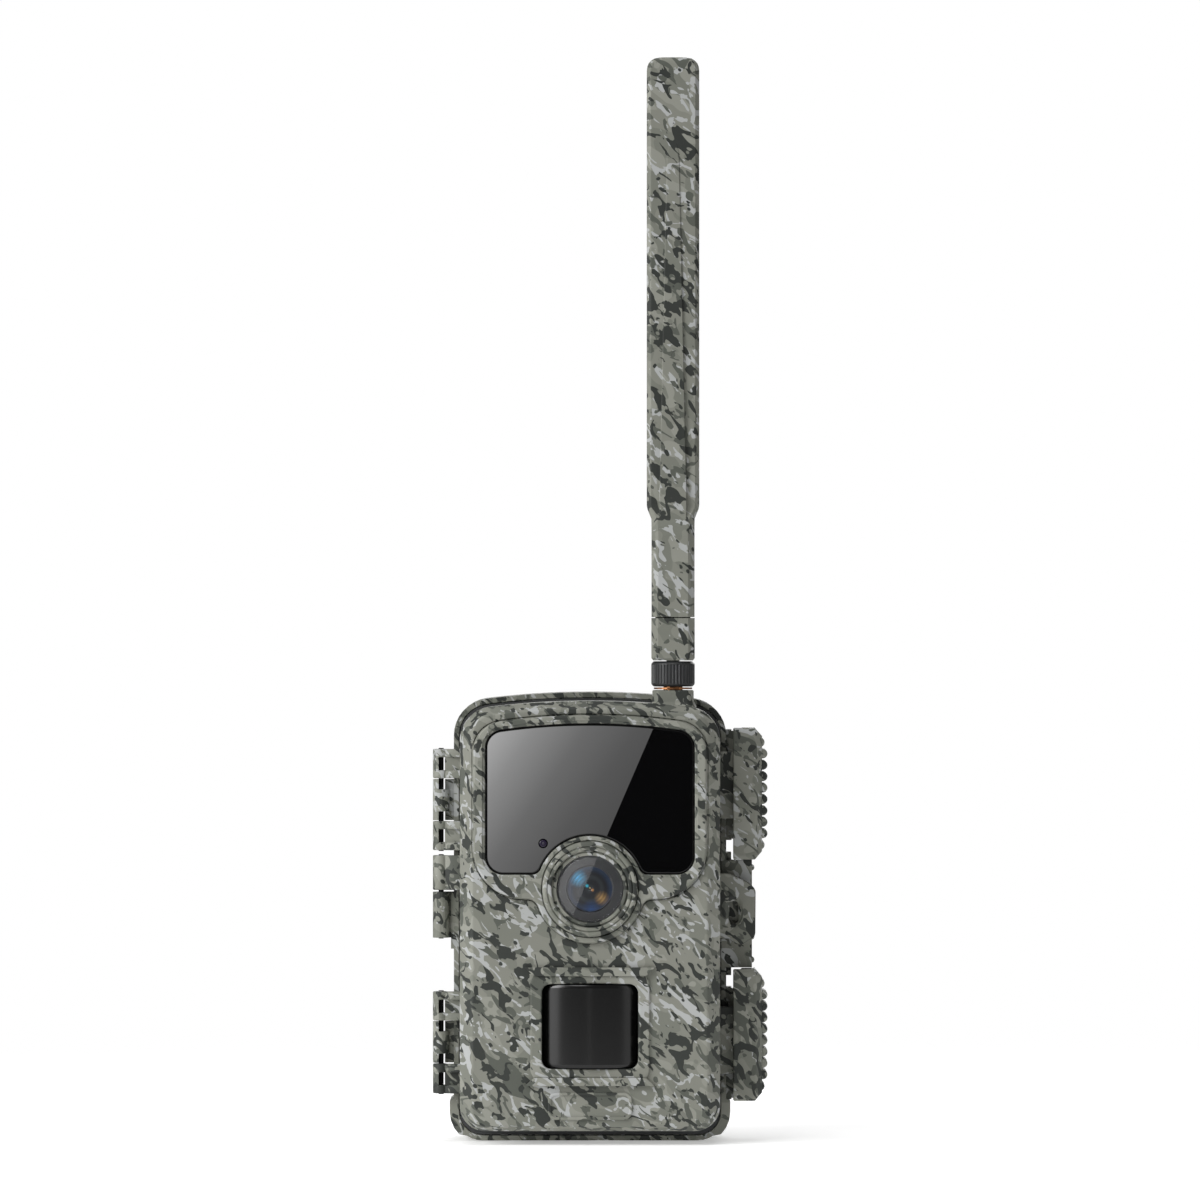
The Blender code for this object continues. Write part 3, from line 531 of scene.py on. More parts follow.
def ridgeLoop(d):
    # The arched lip's outline flows through two small hollows into a collar below the lens.
    base, radius, hollow = front["ridge"]["bottom"] + d, front["collar"] - d, 4.0 + d
    drop = lensCentre[1] - base + hollow
    x = math.sqrt((radius + hollow) ** 2 - drop ** 2)
    lean = math.degrees(math.atan2(drop, x))
    left = arcLoop((-x, base - hollow), hollow, 90, lean, 10)
    collar = arcLoop(lensCentre, radius, 180 + lean, 360 - lean, 60)[1:-1]
    return np.r_[archLoop(front["ridge"], d), left, collar, mirrored(left)]


def grooveLoop():
    # The groove's outer edge: the lip's outline let out by a width that dies away under the lens.
    tight, wide = ridgeLoop(-0.47), ridgeLoop(-0.45 - front["grooveWide"])
    share = np.clip((tight[:, 1] - 66.0) / 9.0, 0, 1)[:, None]
    return tight + (wide - tight) * share * share * (3 - 2 * share)


def ridgeShape():
    # A raised lip: a small foot, a rounded outer shoulder, a flat top and a slope into the panel's seat.
    face, top, sunk = front["faceY"], front["ridgeY"], front["faceY"] + front["groove"]
    rows = [(-0.45, sunk), (-0.45, face), (-0.38, face - 0.12), (-0.3, face - 0.4)]
    rows += [(-0.25 + 0.6 * rest, top + 0.65 - 0.65 * sine) for sine, rest in quarter(6)]
    outer = [lift(ridgeLoop(d), y, "y") for d, y in rows]
    seat = arcLoop(lensCentre, front["ringSeat"], 0, 360, 96)[:-1][::-1]
    inner = [(0.35, sunk), (0.35, top + 1.1)]
    inner += [(0.35 + 0.5 * rest, top + 1.0 - 0.6 * sine) for sine, rest in quarter(6)[1:]]
    inner += [(1.15, top + 0.36), (1.25, top + 0.02), (1.35, top)]
    slope = [lift(panelLoop(d), y, "y") for d, y in inner]
    cap = fill(ridgeLoop(rows[-1][0]), [panelLoop(inner[-1][0])[::-1], seat], top, "y")
    foot = fill(grooveLoop(), [panelLoop(0.35)[::-1], seat], sunk, "y")
    return [skin(outer), skin(slope), tube(seat, top, sunk, "y"), cap, foot]


def ringShape():
    # Turned steps round the lens: inner ledge, raised band, shoulder, outer collar.
    face, top = front["faceY"], front["ringY"]
    profile = softCorners([(10.45, face + 0.5), (10.45, top + 1.35), (11.5, top + 1.15), (11.6, top + 1.6),
                           (11.95, top + 1.6), (12.05, top + 0.35), (12.35, top + 0.2), (13.1, top + 0.2),
                           (13.15, top + 0.55), (13.4, top + 0.55), (13.45, top + 0.05), (13.7, top),
                           (14.3, top + 0.05), (14.75, top + 0.45), (14.95, top + 1.0), (14.95, face + 0.5)],
                          0.16, 3)
    return turned("y", lensCentre, profile, 144)


pirField = {"wide": 18.6, "narrow": 16.4, "low": (18.5, 22.8), "high": (50.8, 55.2), "rise": 0.75}
pirLedge = {"wide": 20.4, "narrow": 17.4, "spans": ((52.6, 55.4), (18.4, 21.0)), "rise": 1.5}


def pirFrame():
    # A low raised field with cut corners; the window's rim is rounded into it.
    face, f = front["faceY"], pirField
    half, low, high = front["pirHole"]
    side = np.array([(f["narrow"], f["low"][0]), (f["wide"], f["low"][1]), (f["wide"], f["high"][0]),
                     (f["narrow"], f["high"][1])])
    outer = softCorners(np.r_[side, mirrored(side)], 0.8)
    hole = softBox(-half, half, low, high, front["pirCorner"], 10)
    top = face - f["rise"]
    rows = [lift(outer, face + 0.5, "y")]
    rows += [lift(inset(outer, 0.4 * rest), top + 0.4 * (1 - sine), "y") for sine, rest in quarter(5)]
    lip = [lift(hole, face + 0.5, "y")]
    lip += [lift(inset(hole, -0.5 * rest), top + 0.5 * (1 - sine), "y") for sine, rest in quarter(5)]
    return [skin(rows), skin(lip), fill(inset(outer, 0.4), [inset(hole, -0.5)[::-1]], top, "y"),
            fill(outer, [hole[::-1]], face + 0.5, "y")]


def pirLedges():
    # Two long shallow steps, one above and one below the window, each wider on its outer side.
    face, shapes = front["faceY"], []
    for number, (z0, z1) in enumerate(pirLedge["spans"]):
        a, b = (pirLedge["narrow"], pirLedge["wide"])[::-1 if number else 1]
        loop = softCorners([(-a, z0), (a, z0), (b, z1), (-b, z1)], 0.6)
        shapes.append(block("y", loop, face - pirLedge["rise"], face + 0.4, 0.2))
    return shapes


badge = {"half": 13.1, "low": 7.8, "high": 16.4, "corner": 2.5, "edge": 0.3, "side": 0.45, "dish": 1.05}


def badgeShape():
    # A plain plate: a rounded rim round a shallow dished field.
    face, s = front["faceY"], badge
    plate = softBox(-s["half"], s["half"], s["low"], s["high"], s["corner"])
    steps = [(s["edge"] * rest, s["side"] + s["edge"] * sine) for sine, rest in quarter(5)]
    steps += [(0.85, 0.75), (0.95, 0.68), (1.0, 0.5), (s["dish"], 0.3)]
    rows = [lift(plate, face + 0.4, "y")] + [lift(inset(plate, d), face - h, "y") for d, h in steps]
    return [skin(rows), fill(inset(plate, s["dish"]), [], face - 0.3, "y"), fill(plate, [], face + 0.4, "y")]


hinge = {
    "x": -46.8, "y": -8.0, "barrel": 2.6, "bore": 1.1, "webEnd": -39.8,
    "arms": ((113.9, 116.4), (120.5, 123.1), (91.3, 93.8), (97.9, 100.4), (78.8, 89.7),
             (37.8, 40.2), (44.3, 46.9), (14.9, 17.5), (21.5, 24.2)),
    "windows": ((116.3, 120.6), (93.7, 98.0), (40.1, 44.4), (17.4, 21.6)),
}


def armLoop():
    # Seen from above: a half-round end about the pin, drawn out into a web that meets the door.
    x, y, r = hinge["x"], hinge["y"], hinge["barrel"]
    end = hinge["webEnd"]
    web = [[x + 3.4, y - 3.6], [end, y - 3.6], [end, y - 0.35], [x + 2.2, y - 0.35], [x + 1.4, y + r]]
    return np.r_[arcLoop((x, y), r, 90, 300, 24), web]


def knuckle(low, high):
    bore = arcLoop((hinge["x"], hinge["y"]), hinge["bore"], 0, 360, 28)[:-1][::-1]
    return block("z", armLoop(), low, high, min(0.35, (high - low) * 0.2), 4, [bore])


def pinWindow(low, high):
    # Between two arms a strip curves round the pin's far side and a wall closes the near side.
    x, y, r = hinge["x"], hinge["y"], hinge["barrel"]
    strip = np.r_[arcLoop((x, y), r, 106, 254, 20), arcLoop((x, y), hinge["bore"], 231, 129, 14)]
    end = hinge["webEnd"] + 0.1
    wall = np.array([(x + 1.2, y - 2.6), (end, y - 2.6), (end, y - 0.35), (x + 1.2, y - 0.35)])
    return [block("z", strip, low, high, 0.02, 1), block("z", wall, low, high, 0.02, 1)]


lug = {
    "outline": ((39.8, 83.7), (43.8, 83.7), (49.4, 80.9), (51.5, 78.9), (51.4, 64.6), (47.1, 61.9),
                (43.6, 64.1), (39.8, 64.1)),
    "slotX": 45.15, "slotZ": (69.65, 73.95), "slotRadius": 1.45, "depth": (-12.2, -8.3), "edge": 0.5,
}


def doorLug():
    # The lock lug: a rounded outline with a dished slot through it.
    loop = softCorners(lug["outline"], 1.0)
    x, (z0, z1), r = lug["slotX"], lug["slotZ"], lug["slotRadius"]
    slot = np.r_[arcLoop((x, z1), r, 0, 180, 14), arcLoop((x, z0), r, 180, 360, 14)]
    (low, high), edge = lug["depth"], lug["edge"]
    rows = [lift(inset(loop, edge * (1 - sine)), low + edge * rest, "y") for sine, rest in quarter(4)]
    rows.append(lift(loop, high, "y"))
    steps = ((0, 0), (0.35, 0.1), (1.0, 0.45), (1.5, 1.0))
    dish = [lift(inset(slot, -1.5 + d), low + h, "y") for d, h in steps]
    dish.append(lift(slot, high, "y"))
    return [skin(rows), skin([d[::-1] for d in dish]), fill(loop, [slot[::-1]], high, "y"),
            fill(inset(loop, edge), [inset(slot, -1.5)[::-1]], low, "y")]


catch = {"wall": 39.8, "end": 46.5, "web": 42.6, "spans": ((101.3, 122.3), (21.2, 42.3))}


def catchShape(low, high):
    # A block that the latch's claw reaches behind, on a thinner web.
    wall, end, web = catch["wall"], catch["end"], catch["web"]
    loop = softCorners([(wall, low), (end, low), (end, high), (wall, high)], 0.5)
    foot = softCorners([(wall, low + 2), (web, low + 2), (web, high - 2), (wall, high - 2)], 0.4)
    return [block("y", loop, -12.8, -10.3, 0.35), block("y", foot, -12.4, -8.4, 0.2)]


mast = (26.0, -19.0)
boss = {
    "half": 6.45, "flat": 4.7, "bore": 3.3, "boreFoot": 133.5, "foot": 136.4, "top": 141.7, "edge": 0.45,
    "flare": 1.6,
}


def bossShape():
    # A square boss with cut corners under the antenna: a flared foot, a rounded top edge and a bore.
    (x, y), h, f, edge = mast, boss["half"], boss["flat"], boss["edge"]
    corners = ((f, -h), (h, -f), (h, f), (f, h), (-f, h), (-h, f), (-h, -f), (-f, -h))
    loop = softCorners([(x + a, y + b) for a, b in corners], 0.5)
    bore, top = arcLoop(mast, boss["bore"], 0, 360, 36)[:-1][::-1], boss["top"]
    steps = [(sine - 1, boss["foot"] + boss["flare"] * sine) for sine, rest in quarter(4)]
    steps += [(edge * rest, top - edge * (1 - sine)) for sine, rest in quarter(4)]
    return [skin([lift(inset(loop, d), z, "z") for d, z in steps]), tube(bore, boss["boreFoot"], top, "z"),
            fill(inset(loop, edge), [bore], top, "z")]


print("front shell")
piece("frontShell", "door", camoShell, [frontSkin(), frontFaces()], ["front_shell"], 35)
trims = {
    "panelRidge": ridgeShape(), "lensRing": ringShape(), "sensorFrame": [pirFrame(), pirLedges()],
    "badgePlate": badgeShape(), "lockLugFront": doorLug(), "antennaBoss": bossShape(),
    "doorKnuckles": [[knuckle(*s) for s in hinge["arms"]], [pinWindow(*s) for s in hinge["windows"]]],
    "catchBlocks": [catchShape(*s) for s in catch["spans"]],
}
for name, made in trims.items():
    piece(name, "door", camoShell, [made], (), 40)


panel = {"front": -34.25, "back": -32.9, "edge": 0.35, "sensor": (-14.6, 94.0), "sensorHole": 1.5}


def panelShape():
    # A flat plate with a soft edge and a small round hole for the light sensor.
    top, back, edge = panel["front"], panel["back"], panel["edge"]
    hole = arcLoop(panel["sensor"], panel["sensorHole"], 0, 360, 40)[:-1][::-1]
    rows = [lift(panelLoop(0.0), back, "y")]
    rows += [lift(panelLoop(-edge * rest), top + edge * (1 - sine), "y") for sine, rest in quarter(5)]
    return [skin(rows), fill(panelLoop(-edge), [hole], top, "y"), fill(panelLoop(0.0), [hole], back, "y"),
            tube(hole, top, back, "y")]


print("panel and lens")
piece("infraredPanel", "door", panelBlack, panelShape(), ["ir_panel"], 30)
# A near-black ring filling the gap round the panel: painted shade of the gap.
section = ((-0.1, -33.6), (0.33, -33.6), (0.33, -32.7), (-0.1, -32.7))
gapShadeRing = [skin([lift(panelLoop(d), y, "y") for d, y in section], True)]
piece("panelGapShade", "door", gapShadeBlack, gapShadeRing, (), 30)
profile = softCorners([(0.001, -34.2), (1.0, -34.15), (1.25, -33.9), (1.25, -31.6), (0.001, -31.6)], 0.2, 4)
dot = turned("y", panel["sensor"], profile, 40)
piece("lightSensor", "door", violet, [dot], ["light_sensor"], 40)


# Each painted reflection is (centre, reach, colour, strength, streak): a blue or amber spot painted where the
# coated lens would reflect a lamp.
paintedLensReflections = {
    "haze": ((0.5, 73.5), 3.4, (58, 100, 168), 0.6, 0.3),
    "blue": ((-3.7, 83.2), 3.2, (84, 200, 255), 1.0, 0.45),
    "amber": ((3.7, 76.9), 2.6, (226, 176, 104), 0.85, 0.5),
    "grain": ((0.0, 80.15), 0.35, (255, 216, 120), 1.0, 0),
    "spark": ((-0.9, 80.8), 0.72, (70, 226, 255), 1.0, 0),
    "ember": ((0.8, 79.5), 0.62, (255, 172, 88), 1.0, 0),
}


def paintedReflectionLensMaterial():
    # Coated glass: grooved rings on dark glass, a violet-blue rim, and painted reflections of the lamps as
    # coloured spots in fixed places.
    g = Graph("lensElementPaintedReflections")
    axes = g.axes()

    def away(x, z):
        dx, dz = g.maths("SUBTRACT", axes[0], x * mm), g.maths("SUBTRACT", axes[2], z * mm)
        return g.maths("SQRT", g.maths("ADD", g.maths("MULTIPLY", dx, dx), g.maths("MULTIPLY", dz, dz)))

    radius = away(*lensCentre)
    rings = g.maths("SINE", g.maths("MULTIPLY", radius, 6200.0))
    coarse = g.maths("SINE", g.maths("MULTIPLY", radius, 2100.0))
    colour = g.mix(g.ramp(coarse, -0.4, 0.9), linear((46, 48, 51)), linear((60, 62, 66)))
    colour = g.mix(g.ramp(radius, 0.0050, 0.0069, 0.0, 0.5), colour, linear((62, 84, 122)))
    colour = g.mix(g.ramp(radius, 0.0068, 0.0070), colour, linear((116, 118, 122)))

    # Painted reflections: each spot's colour is mixed in by its distance from a fixed point, and streaked
    # along the rings.
    for (x, z), reach, tone, most, streak in paintedLensReflections.values():
        share = g.ramp(away(x, z), reach * mm, 0.0, 0.0, 1.0)
        share = g.maths("MULTIPLY", g.maths("POWER", share, 1.3), most)
        if streak:
            share = g.maths("MULTIPLY", share, g.ramp(rings, -1, 1, 1 - streak, 1))
        colour = g.mix(share, colour, linear(tone))
    rough = g.ramp(rings, -1, 1, 0.34, 0.42)
    return g.finish(colour, rough, g.bump(rings, 0.05, 0.00001), Specular_IOR_Level=0.35)


def paneMaterial():
    # Clear front glass with a weak mirror and a trace of dust.
    g = Graph("windowGlass")
    dust = g.noise(g.place, 1800, 3, 0.6)
    tint = g.mix(g.ramp(dust, 0.6, 0.8, 0.0, 0.3), linear((250, 251, 252)), linear((236, 240, 240)))
    return g.finish(tint, 0.0, None, Transmission_Weight=1.0, IOR=1.33)


maskGrey = plasticMaterial("lensMask", (62, 62, 63), 0.5, 0.6, 2600, 0.00001)
profile = softCorners([(0.001, -34.9), (10.3, -34.9), (10.3, -35.35), (10.15, -35.5), (0.001, -35.5)],
                      0.08, 4)
pane = turned("y", lensCentre, profile)
piece("lensWindow", "door", paneMaterial(), [pane], ["lens_window"], 25)
profile = softCorners([(10.35, -32.0), (10.35, -34.55), (7.35, -34.55), (7.2, -34.4), (7.15, -33.2),
                       (0.001, -33.2), (0.001, -32.6), (8.5, -32.6), (8.5, -32.0)], 0.1, 3)
piece("lensBarrelFront", "door", maskGrey, [turned("y", lensCentre, profile)], (), 30)

element = {"radius": 7.05, "rise": 0.75, "rim": -33.6, "back": -33.25, "steps": 22}


def domeProfile():
    # A spherical cap seen in section, closed by a flat back.
    radius, rise, back = element["radius"], element["rise"], element["back"]
    ball = (radius ** 2 + rise ** 2) / (2 * rise)
    r = np.linspace(radius, 0.001, element["steps"])
    height = element["rim"] - (np.sqrt(ball ** 2 - r ** 2) - (ball - rise))
    return np.r_[np.c_[r, height], [[0.001, back], [radius, back]]]


dome = turned("y", lensCentre, domeProfile())
piece("frontElement", "door", paintedReflectionLensMaterial(), [dome], ["lens_element"], 25)

sensorSheet = {
    "half": 14.75, "low": 24.0, "high": 49.9, "corner": 2.7, "radius": 25.0, "front": -36.6, "thick": 0.6,
    "well": (15.0, 23.75, 50.15), "wellDepth": (-33.4, -31.0),
}


def sensorWindow():
    # Part of an upright cylinder: a softened rectangle whose depth follows the arc, with a thick edge.
    s = sensorSheet
    outline = dense(softBox(-s["half"], s["half"], s["low"], s["high"], s["corner"], 10), 0.6)
    centre = np.array([0.0, (s["low"] + s["high"]) / 2])
    shares = np.linspace(1, 0.001, 24)
    edge = [1.0, *shares]
    rows = []
    for number, share in enumerate(edge):
        loop = centre + (outline - centre) * share
        depth = s["front"] + s["radius"] - np.sqrt(s["radius"] ** 2 - loop[:, 0] ** 2)
        depth = depth + (s["thick"] if number == 0 else 0.3 * max(0.0, share - 0.96) / 0.04)
        rows.append(np.c_[loop[:, 0], depth, loop[:, 1]])
    return skin(rows)


piece("sensorWindow", "door", sheetDark, [sensorWindow()], ["pir_lens"], 60)
# A near-black well behind the sensor window: painted shade that shows in the thin gaps round the window.
half, low, high = sensorSheet["well"]
well = softBox(-half, half, low, high, front["pirCorner"])
rim, bottom = sensorSheet["wellDepth"]
wellShape = [tube(well, rim, bottom, "y"), fill(well, [], bottom, "y")]
piece("sensorWell", "door", gapShadeBlack, wellShape, (), 30)


latch = {
    "length": 41.3, "pivot": (48.5, 1.0), "bore": 1.1, "barrelEdge": 0.3, "ear": 12.0, "earRoom": 2.3,
    "pitch": 3.58, "ribs": 10, "rib": 1.5, "ribX": 54.2, "endRibDrop": 0.9, "ribSpan": (-13.2, 1.6),
    "lows": {"upper": 88.5, "lower": 12.8},
}


def latchWall(low):
    # The lever's wall and claw seen from above, drawn in at its outer side near both ends.
    s, high = latch, low + latch["length"]
    loop = softCorners([(44.9, -16.0), (52.1, -16.0), (54.0, -13.6), (54.0, 2.2), (52.6, 4.0), (51.5, 4.0),
                        (51.5, -2.4), (47.4, -2.4), (47.2, -13.1), (44.9, -13.1)], 0.45)
    z = np.r_[np.linspace(0, 0.5, 5), 1.1, 1.7, 2.3, 2.6, 3.2]
    rows = []
    for side, heights in ((low, z), (high, -z[::-1])):
        for d in heights:
            reach = abs(d)
            sunk = math.sqrt(max(0.0, 0.25 - (0.5 - min(reach, 0.5)) ** 2))
            ring = inset(loop, max(0.0, 0.5 - sunk))
            limit = 51.7 + min(reach, 2.6) * 0.885
            nose = -15.2 - min(reach, 1.2) * 0.8
            ring = np.c_[np.minimum(ring[:, 0], limit), np.maximum(ring[:, 1], nose)]
            rows.append(lift(ring, side + d, "z"))
    return [skin(rows), fill(rows[0][:, :2], [], low, "z"), fill(rows[-1][:, :2], [], high, "z")]


def latchBarrels(low):
    # Between and beyond the ears the lever's back closes round the pin.
    s, (x, y) = latch, latch["pivot"]
    middle, high = low + s["length"] / 2, low + s["length"]
    stops = [low + 2.6, middle - s["ear"] - s["earRoom"], middle - s["ear"] + s["earRoom"],
             middle + s["ear"] - s["earRoom"], middle + s["ear"] + s["earRoom"], high - 2.6]
    loop = softCorners([(46.0, -1.9), (47.6, -2.9), (52.0, -2.9), (52.0, 4.0), (46.3, 4.0)], 1.2)
    bore, edge = arcLoop((x, y), s["bore"], 0, 360, 32)[:-1][::-1], s["barrelEdge"]
    made = []
    for z0, z1 in zip(stops[::2], stops[1::2]):
        made += block("z", loop, z0, z1, edge, 3, [bore])
    return made


def latchRibs(low):
    # Half-round finger ribs across the outer side, with rounded ends.
    s = latch
    first = low + (s["length"] - s["pitch"] * (s["ribs"] - 1)) / 2
    made = []
    for i in range(s["ribs"]):
        z, r = first + s["pitch"] * i, s["rib"]
        x = s["ribX"] - (s["endRibDrop"] if i in (0, s["ribs"] - 1) else 0.0)
        loop = np.r_[arcLoop((x, z), r, -90, 90, 16), [[x - 0.8, z + r], [x - 0.8, z - r]]]
        made += block("y", loop, *s["ribSpan"], 0.7, 6)
    return made


print("latches")
for end, low in latch["lows"].items():
    lever = [latchWall(low), latchBarrels(low), latchRibs(low)]
    piece("latch" + end.capitalize(), f"latch_{end}", camoShell, lever, [f"latch_{end}"], 40)


nut = {
    "ribs": 40, "depth": 0.32,
    "profile": ((142.8, 3.35, 0), (142.8, 5.9, 0), (142.95, 6.25, 0), (143.5, 6.72, 0), (143.75, 6.76, 0),
                (143.8, 6.8, 1), (149.7, 6.8, 1), (149.75, 6.76, 0), (150.0, 6.72, 0), (150.55, 6.25, 0),
                (150.7, 5.9, 0), (150.7, 3.35, 0)),
}


def nutShape():
    # The rim's radius rises and falls with the angle between two plain chamfered bands.
    a = np.linspace(0, 2 * np.pi, nut["ribs"] * 10, endpoint=False)
    wave = np.clip(0.5 + 0.75 * np.cos(a * nut["ribs"]), 0, 1)
    rows = []
    for z, radius, share in nut["profile"]:
        r = radius - share * nut["depth"] * (1 - wave)
        rows.append(np.c_[mast[0] + r * np.cos(a), mast[1] + r * np.sin(a), np.full(len(a), z)])
    return skin(rows, True)


print("nut")
piece("knurledNut", "antenna_nut", nutBlack, [nutShape()], ["antenna_nut"], 30)


edgeLook = {"radius": 0.35, "samples": 6}


def softened(material):
    # Rounds the look of sharp moulded edges through the shading normal.
    tree = material.node_tree
    made = tree.nodes.new("ShaderNodeBevel")
    made.samples = edgeLook["samples"]
    made.inputs["Radius"].default_value = edgeLook["radius"] * mm
    shader = tree.nodes["Principled BSDF"]
    for node in tree.nodes:
        if node.bl_idname == "ShaderNodeBump" and not node.inputs["Normal"].is_linked:
            tree.links.new(made.outputs["Normal"], node.inputs["Normal"])
            return material
    tree.links.new(made.outputs["Normal"], shader.inputs["Normal"])
    return material


finishes = {
    "rear_shell": camoShell, "antenna_base": camoShell, "antenna_blade": camoShell,
    "mount_bracket": bracketGrey, "door_gasket": rubberGrey, "tripod_insert": brass,
    "antenna_socket": brass, "battery_tray": innerBlack, "inner_cover": innerBlack,
    "led_board": board, "camera_board": board, "main_board": board, "lens_barrel": barrelBlack,
    "pir_sensor": steel, "lcd_screen": screen, "antenna_pin": steel, "power_switch": bracketGrey,
    "sd_card": innerBlack, "ir_cut_filter": violet,
}


def finishFor(name):
    if name in finishes:
        return finishes[name]
    for start, material in (("battery_", cell), ("button_", rubberGrey), ("hinge_pin", pinDark)):
        if name.startswith(start):
            return material
    return steel


print("carried-over nodes")
for material in (camoShell, innerBlack, bracketGrey):
    softened(material)
for name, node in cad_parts.items():
    node.data.materials.clear()
    node.data.materials.append(finishFor(name))


stage = {"lens": 300.0, "sensor": 36.0, "span": 375.8, "centre": (3.13, 169.9), "plane": -20.0}
camera = bpy.data.objects.new("camera", bpy.data.cameras.new("camera"))
bpy.context.scene.collection.objects.link(camera)
camera.data.lens = stage["lens"]
camera.data.sensor_width = stage["sensor"]
camera.data.clip_end = 50
distance = stage["lens"] / stage["sensor"] * stage["span"]
camera.location = (stage["centre"][0] * mm, (stage["plane"] - distance) * mm, stage["centre"][1] * mm)
camera.rotation_euler = (math.radians(90), 0, 0)
bpy.context.scene.camera = camera


def emission(name, strength, fade=None):
    # A surface that gives white light; fade wires its brightness over the surface.
    g = Graph(name)
    lamp = g.node("ShaderNodeEmission")
    g.feed(lamp.inputs["Strength"], strength)
    g.feed(g.tree.nodes["Material Output"].inputs[0], lamp.outputs[0])
    if fade is not None:
        fade(g, lamp)
    return g.material


def plane(name, corners, material):
    mesh = bpy.data.meshes.new(name)
    mesh.from_pydata(corners, [], [tuple(range(len(corners)))])
    obj = bpy.data.objects.new(name, mesh)
    bpy.context.scene.collection.objects.link(obj)
    mesh.materials.append(material)
    return obj


# The stops are (place, strength) from the card's bright corner to its slanted edge, and each side card is
# (near foot, far foot, top, strength).
card = {
    "behind": 60.0, "gap": 4.0, "start": (-33, 130), "end": (10, 100), "most": 12,
    "stops": ((0.0, 10.6), (0.25, 6.2), (0.5, 3.5), (0.75, 2.3), (1.0, 1.75)),
    "flag": ((-60, -10), (60, -10), (60, 150), (-60, 150)), "flagStrength": 0.03,
    "lit": ((-45, 60), (-10.4, 60), (27.5, 148), (-45, 148)),
    "sides": {"leftCard": ((-0.95, -0.95), (-1.15, -0.2), 0.6, 2.6),
              "rightCard": ((1.2, -0.5), (1.3, -0.1), 0.5, 1.4)},
}


def mirrorPoint(x, z):
    # Where a ray from the lens that bounces off the flat panel at (x, z) meets the plane behind the camera.
    cx, cy, cz = (v / mm for v in camera.location)
    share = (card["behind"] + panel["front"] - cy) / (panel["front"] - cy)
    return ((x + (x - cx) * share) * mm, (cy - card["behind"]) * mm, (z + (z - cz) * share) * mm)


def cardFade(g, lamp):
    # The card fades from its bright upper left corner to the slanted edge.
    start = Vector(mirrorPoint(*card["start"]))
    way = Vector(mirrorPoint(*card["end"])) - start
    shift = g.node("ShaderNodeVectorMath", operation="SUBTRACT")
    along = g.node("ShaderNodeVectorMath", operation="DOT_PRODUCT")
    ramp = g.node("ShaderNodeValToRGB")
    for socket, value in ((shift.inputs[0], g.place), (shift.inputs[1], start),
                          (along.inputs[0], shift.outputs[0]), (along.inputs[1], way / way.length_squared),
                          (ramp.inputs[0], along.outputs["Value"]), (lamp.inputs[0], ramp.outputs[0])):
        g.feed(socket, value)
    stops = ramp.color_ramp.elements
    while len(stops) < len(card["stops"]):
        stops.new(0.5)
    for stop, (at, value) in zip(stops, card["stops"]):
        stop.position = at
        stop.color = (*[value / card["most"]] * 3, 1)


print("stage")
dark = plane("darkFlag", [mirrorPoint(*p) for p in card["flag"]], emission("darkFlag", card["flagStrength"]))
lit = plane("lightCard", [mirrorPoint(*p) for p in card["lit"]],
            emission("lightCard", card["most"], cardFade))
for vertex in lit.data.vertices:
    vertex.co.y += card["gap"] * mm
cards = [dark, lit]
for name, (near, far, top, strength) in card["sides"].items():
    corners = [(*near, -0.05), (*far, -0.05), (*far, top), (*near, top)]
    cards.append(plane(name, corners, emission(name, strength)))
for obj in cards:
    obj.visible_camera = False
    obj.visible_diffuse = False
    obj.visible_shadow = False


floor = {"solid": 0.22, "gone": 0.72, "half": 0.75, "level": -0.0002, "tone": 0.94, "rough": 0.9, "lit": 0.35}


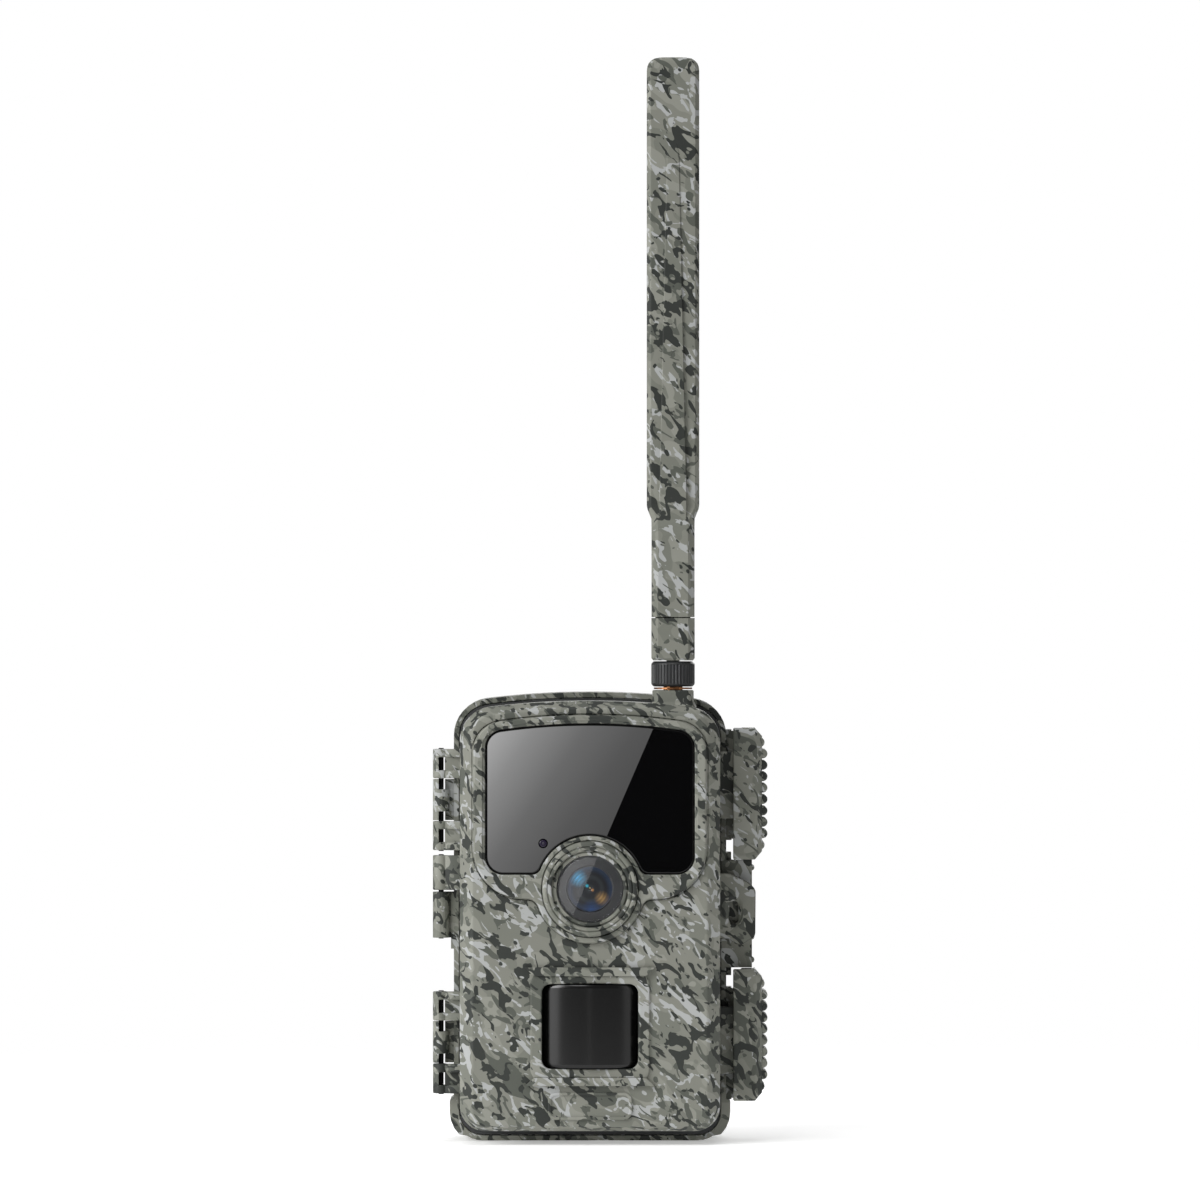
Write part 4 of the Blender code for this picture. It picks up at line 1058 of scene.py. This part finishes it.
def floorPaper():
    # Pale paper that fades out with the distance from the object, so no edge of it shows.
    g = Graph("floorPaper")
    away = g.node("ShaderNodeVectorMath", operation="LENGTH")
    g.feed(away.inputs[0], g.place)
    fade = g.node("ShaderNodeMapRange", interpolation_type="SMOOTHERSTEP")
    for socket, value in zip(fade.inputs, (away.outputs["Value"], floor["solid"], floor["gone"])):
        g.feed(socket, value)
    clear, blend = g.node("ShaderNodeBsdfTransparent"), g.node("ShaderNodeMixShader")
    for socket, value in zip(blend.inputs, (fade.outputs["Result"], g.shader.outputs[0], clear.outputs[0])):
        g.feed(socket, value)
    g.feed(g.tree.nodes["Material Output"].inputs[0], blend.outputs[0])
    return g.finish((*[floor["tone"]] * 3, 1), floor["rough"], None, Emission_Color=(1, 1, 1, 1),
                    Emission_Strength=floor["lit"])


corners = [(x * floor["half"], y * floor["half"], floor["level"])
           for x, y in ((-1, -1), (1, -1), (1, 1), (-1, 1))]
plane("floor", corners, floorPaper())


# Each light is (place, size, power), and all of them face one point.
aim = Vector((0.0, 0.0, 0.11))
lights = {
    "keyLight": ((-0.66, -0.46, 0.42), (0.34, 0.55), 5.2),
    "fillLight": ((1.1, -0.7, 0.35), (0.4, 0.8), 0.9),
    "topLight": ((0.0, -0.1, 1.1), (0.6, 0.4), 3.2),
    "frontLight": ((-0.4, -1.1, 1.3), (0.6, 0.4), 4.0),
    "backLight": ((0.3, 1.1, 0.6), (0.8, 0.7), 6.0),
}


def areaLight(name, place, size, power):
    data = bpy.data.lights.new(name, "AREA")
    data.shape, data.size, data.size_y = "RECTANGLE", size[0], size[1]
    data.energy = power
    obj = bpy.data.objects.new(name, data)
    bpy.context.scene.collection.objects.link(obj)
    obj.location = place
    obj.rotation_euler = (aim - Vector(place)).to_track_quat("-Z", "Y").to_euler()
    obj.visible_camera = False


for name, light in lights.items():
    areaLight(name, *light)

# The room lights the object softly, and the camera sees plain white behind it.
studio = {"light": 0.2, "seen": 1.0}
world = bpy.data.worlds.new("studio")
bpy.context.scene.world = world
world.use_nodes = True
tree = world.node_tree
room, seen = tree.nodes["Background"], tree.nodes.new("ShaderNodeBackground")
for shader, strength in ((room, studio["light"]), (seen, studio["seen"])):
    shader.inputs["Color"].default_value = (1, 1, 1, 1)
    shader.inputs["Strength"].default_value = strength
rays, blend = tree.nodes.new("ShaderNodeLightPath"), tree.nodes.new("ShaderNodeMixShader")
tree.links.new(rays.outputs["Is Camera Ray"], blend.inputs[0])
tree.links.new(room.outputs[0], blend.inputs[1])
tree.links.new(seen.outputs[0], blend.inputs[2])
tree.links.new(blend.outputs[0], tree.nodes["World Output"].inputs[0])

view = bpy.context.scene.view_settings
view.view_transform = "Standard"
view.look = "None"
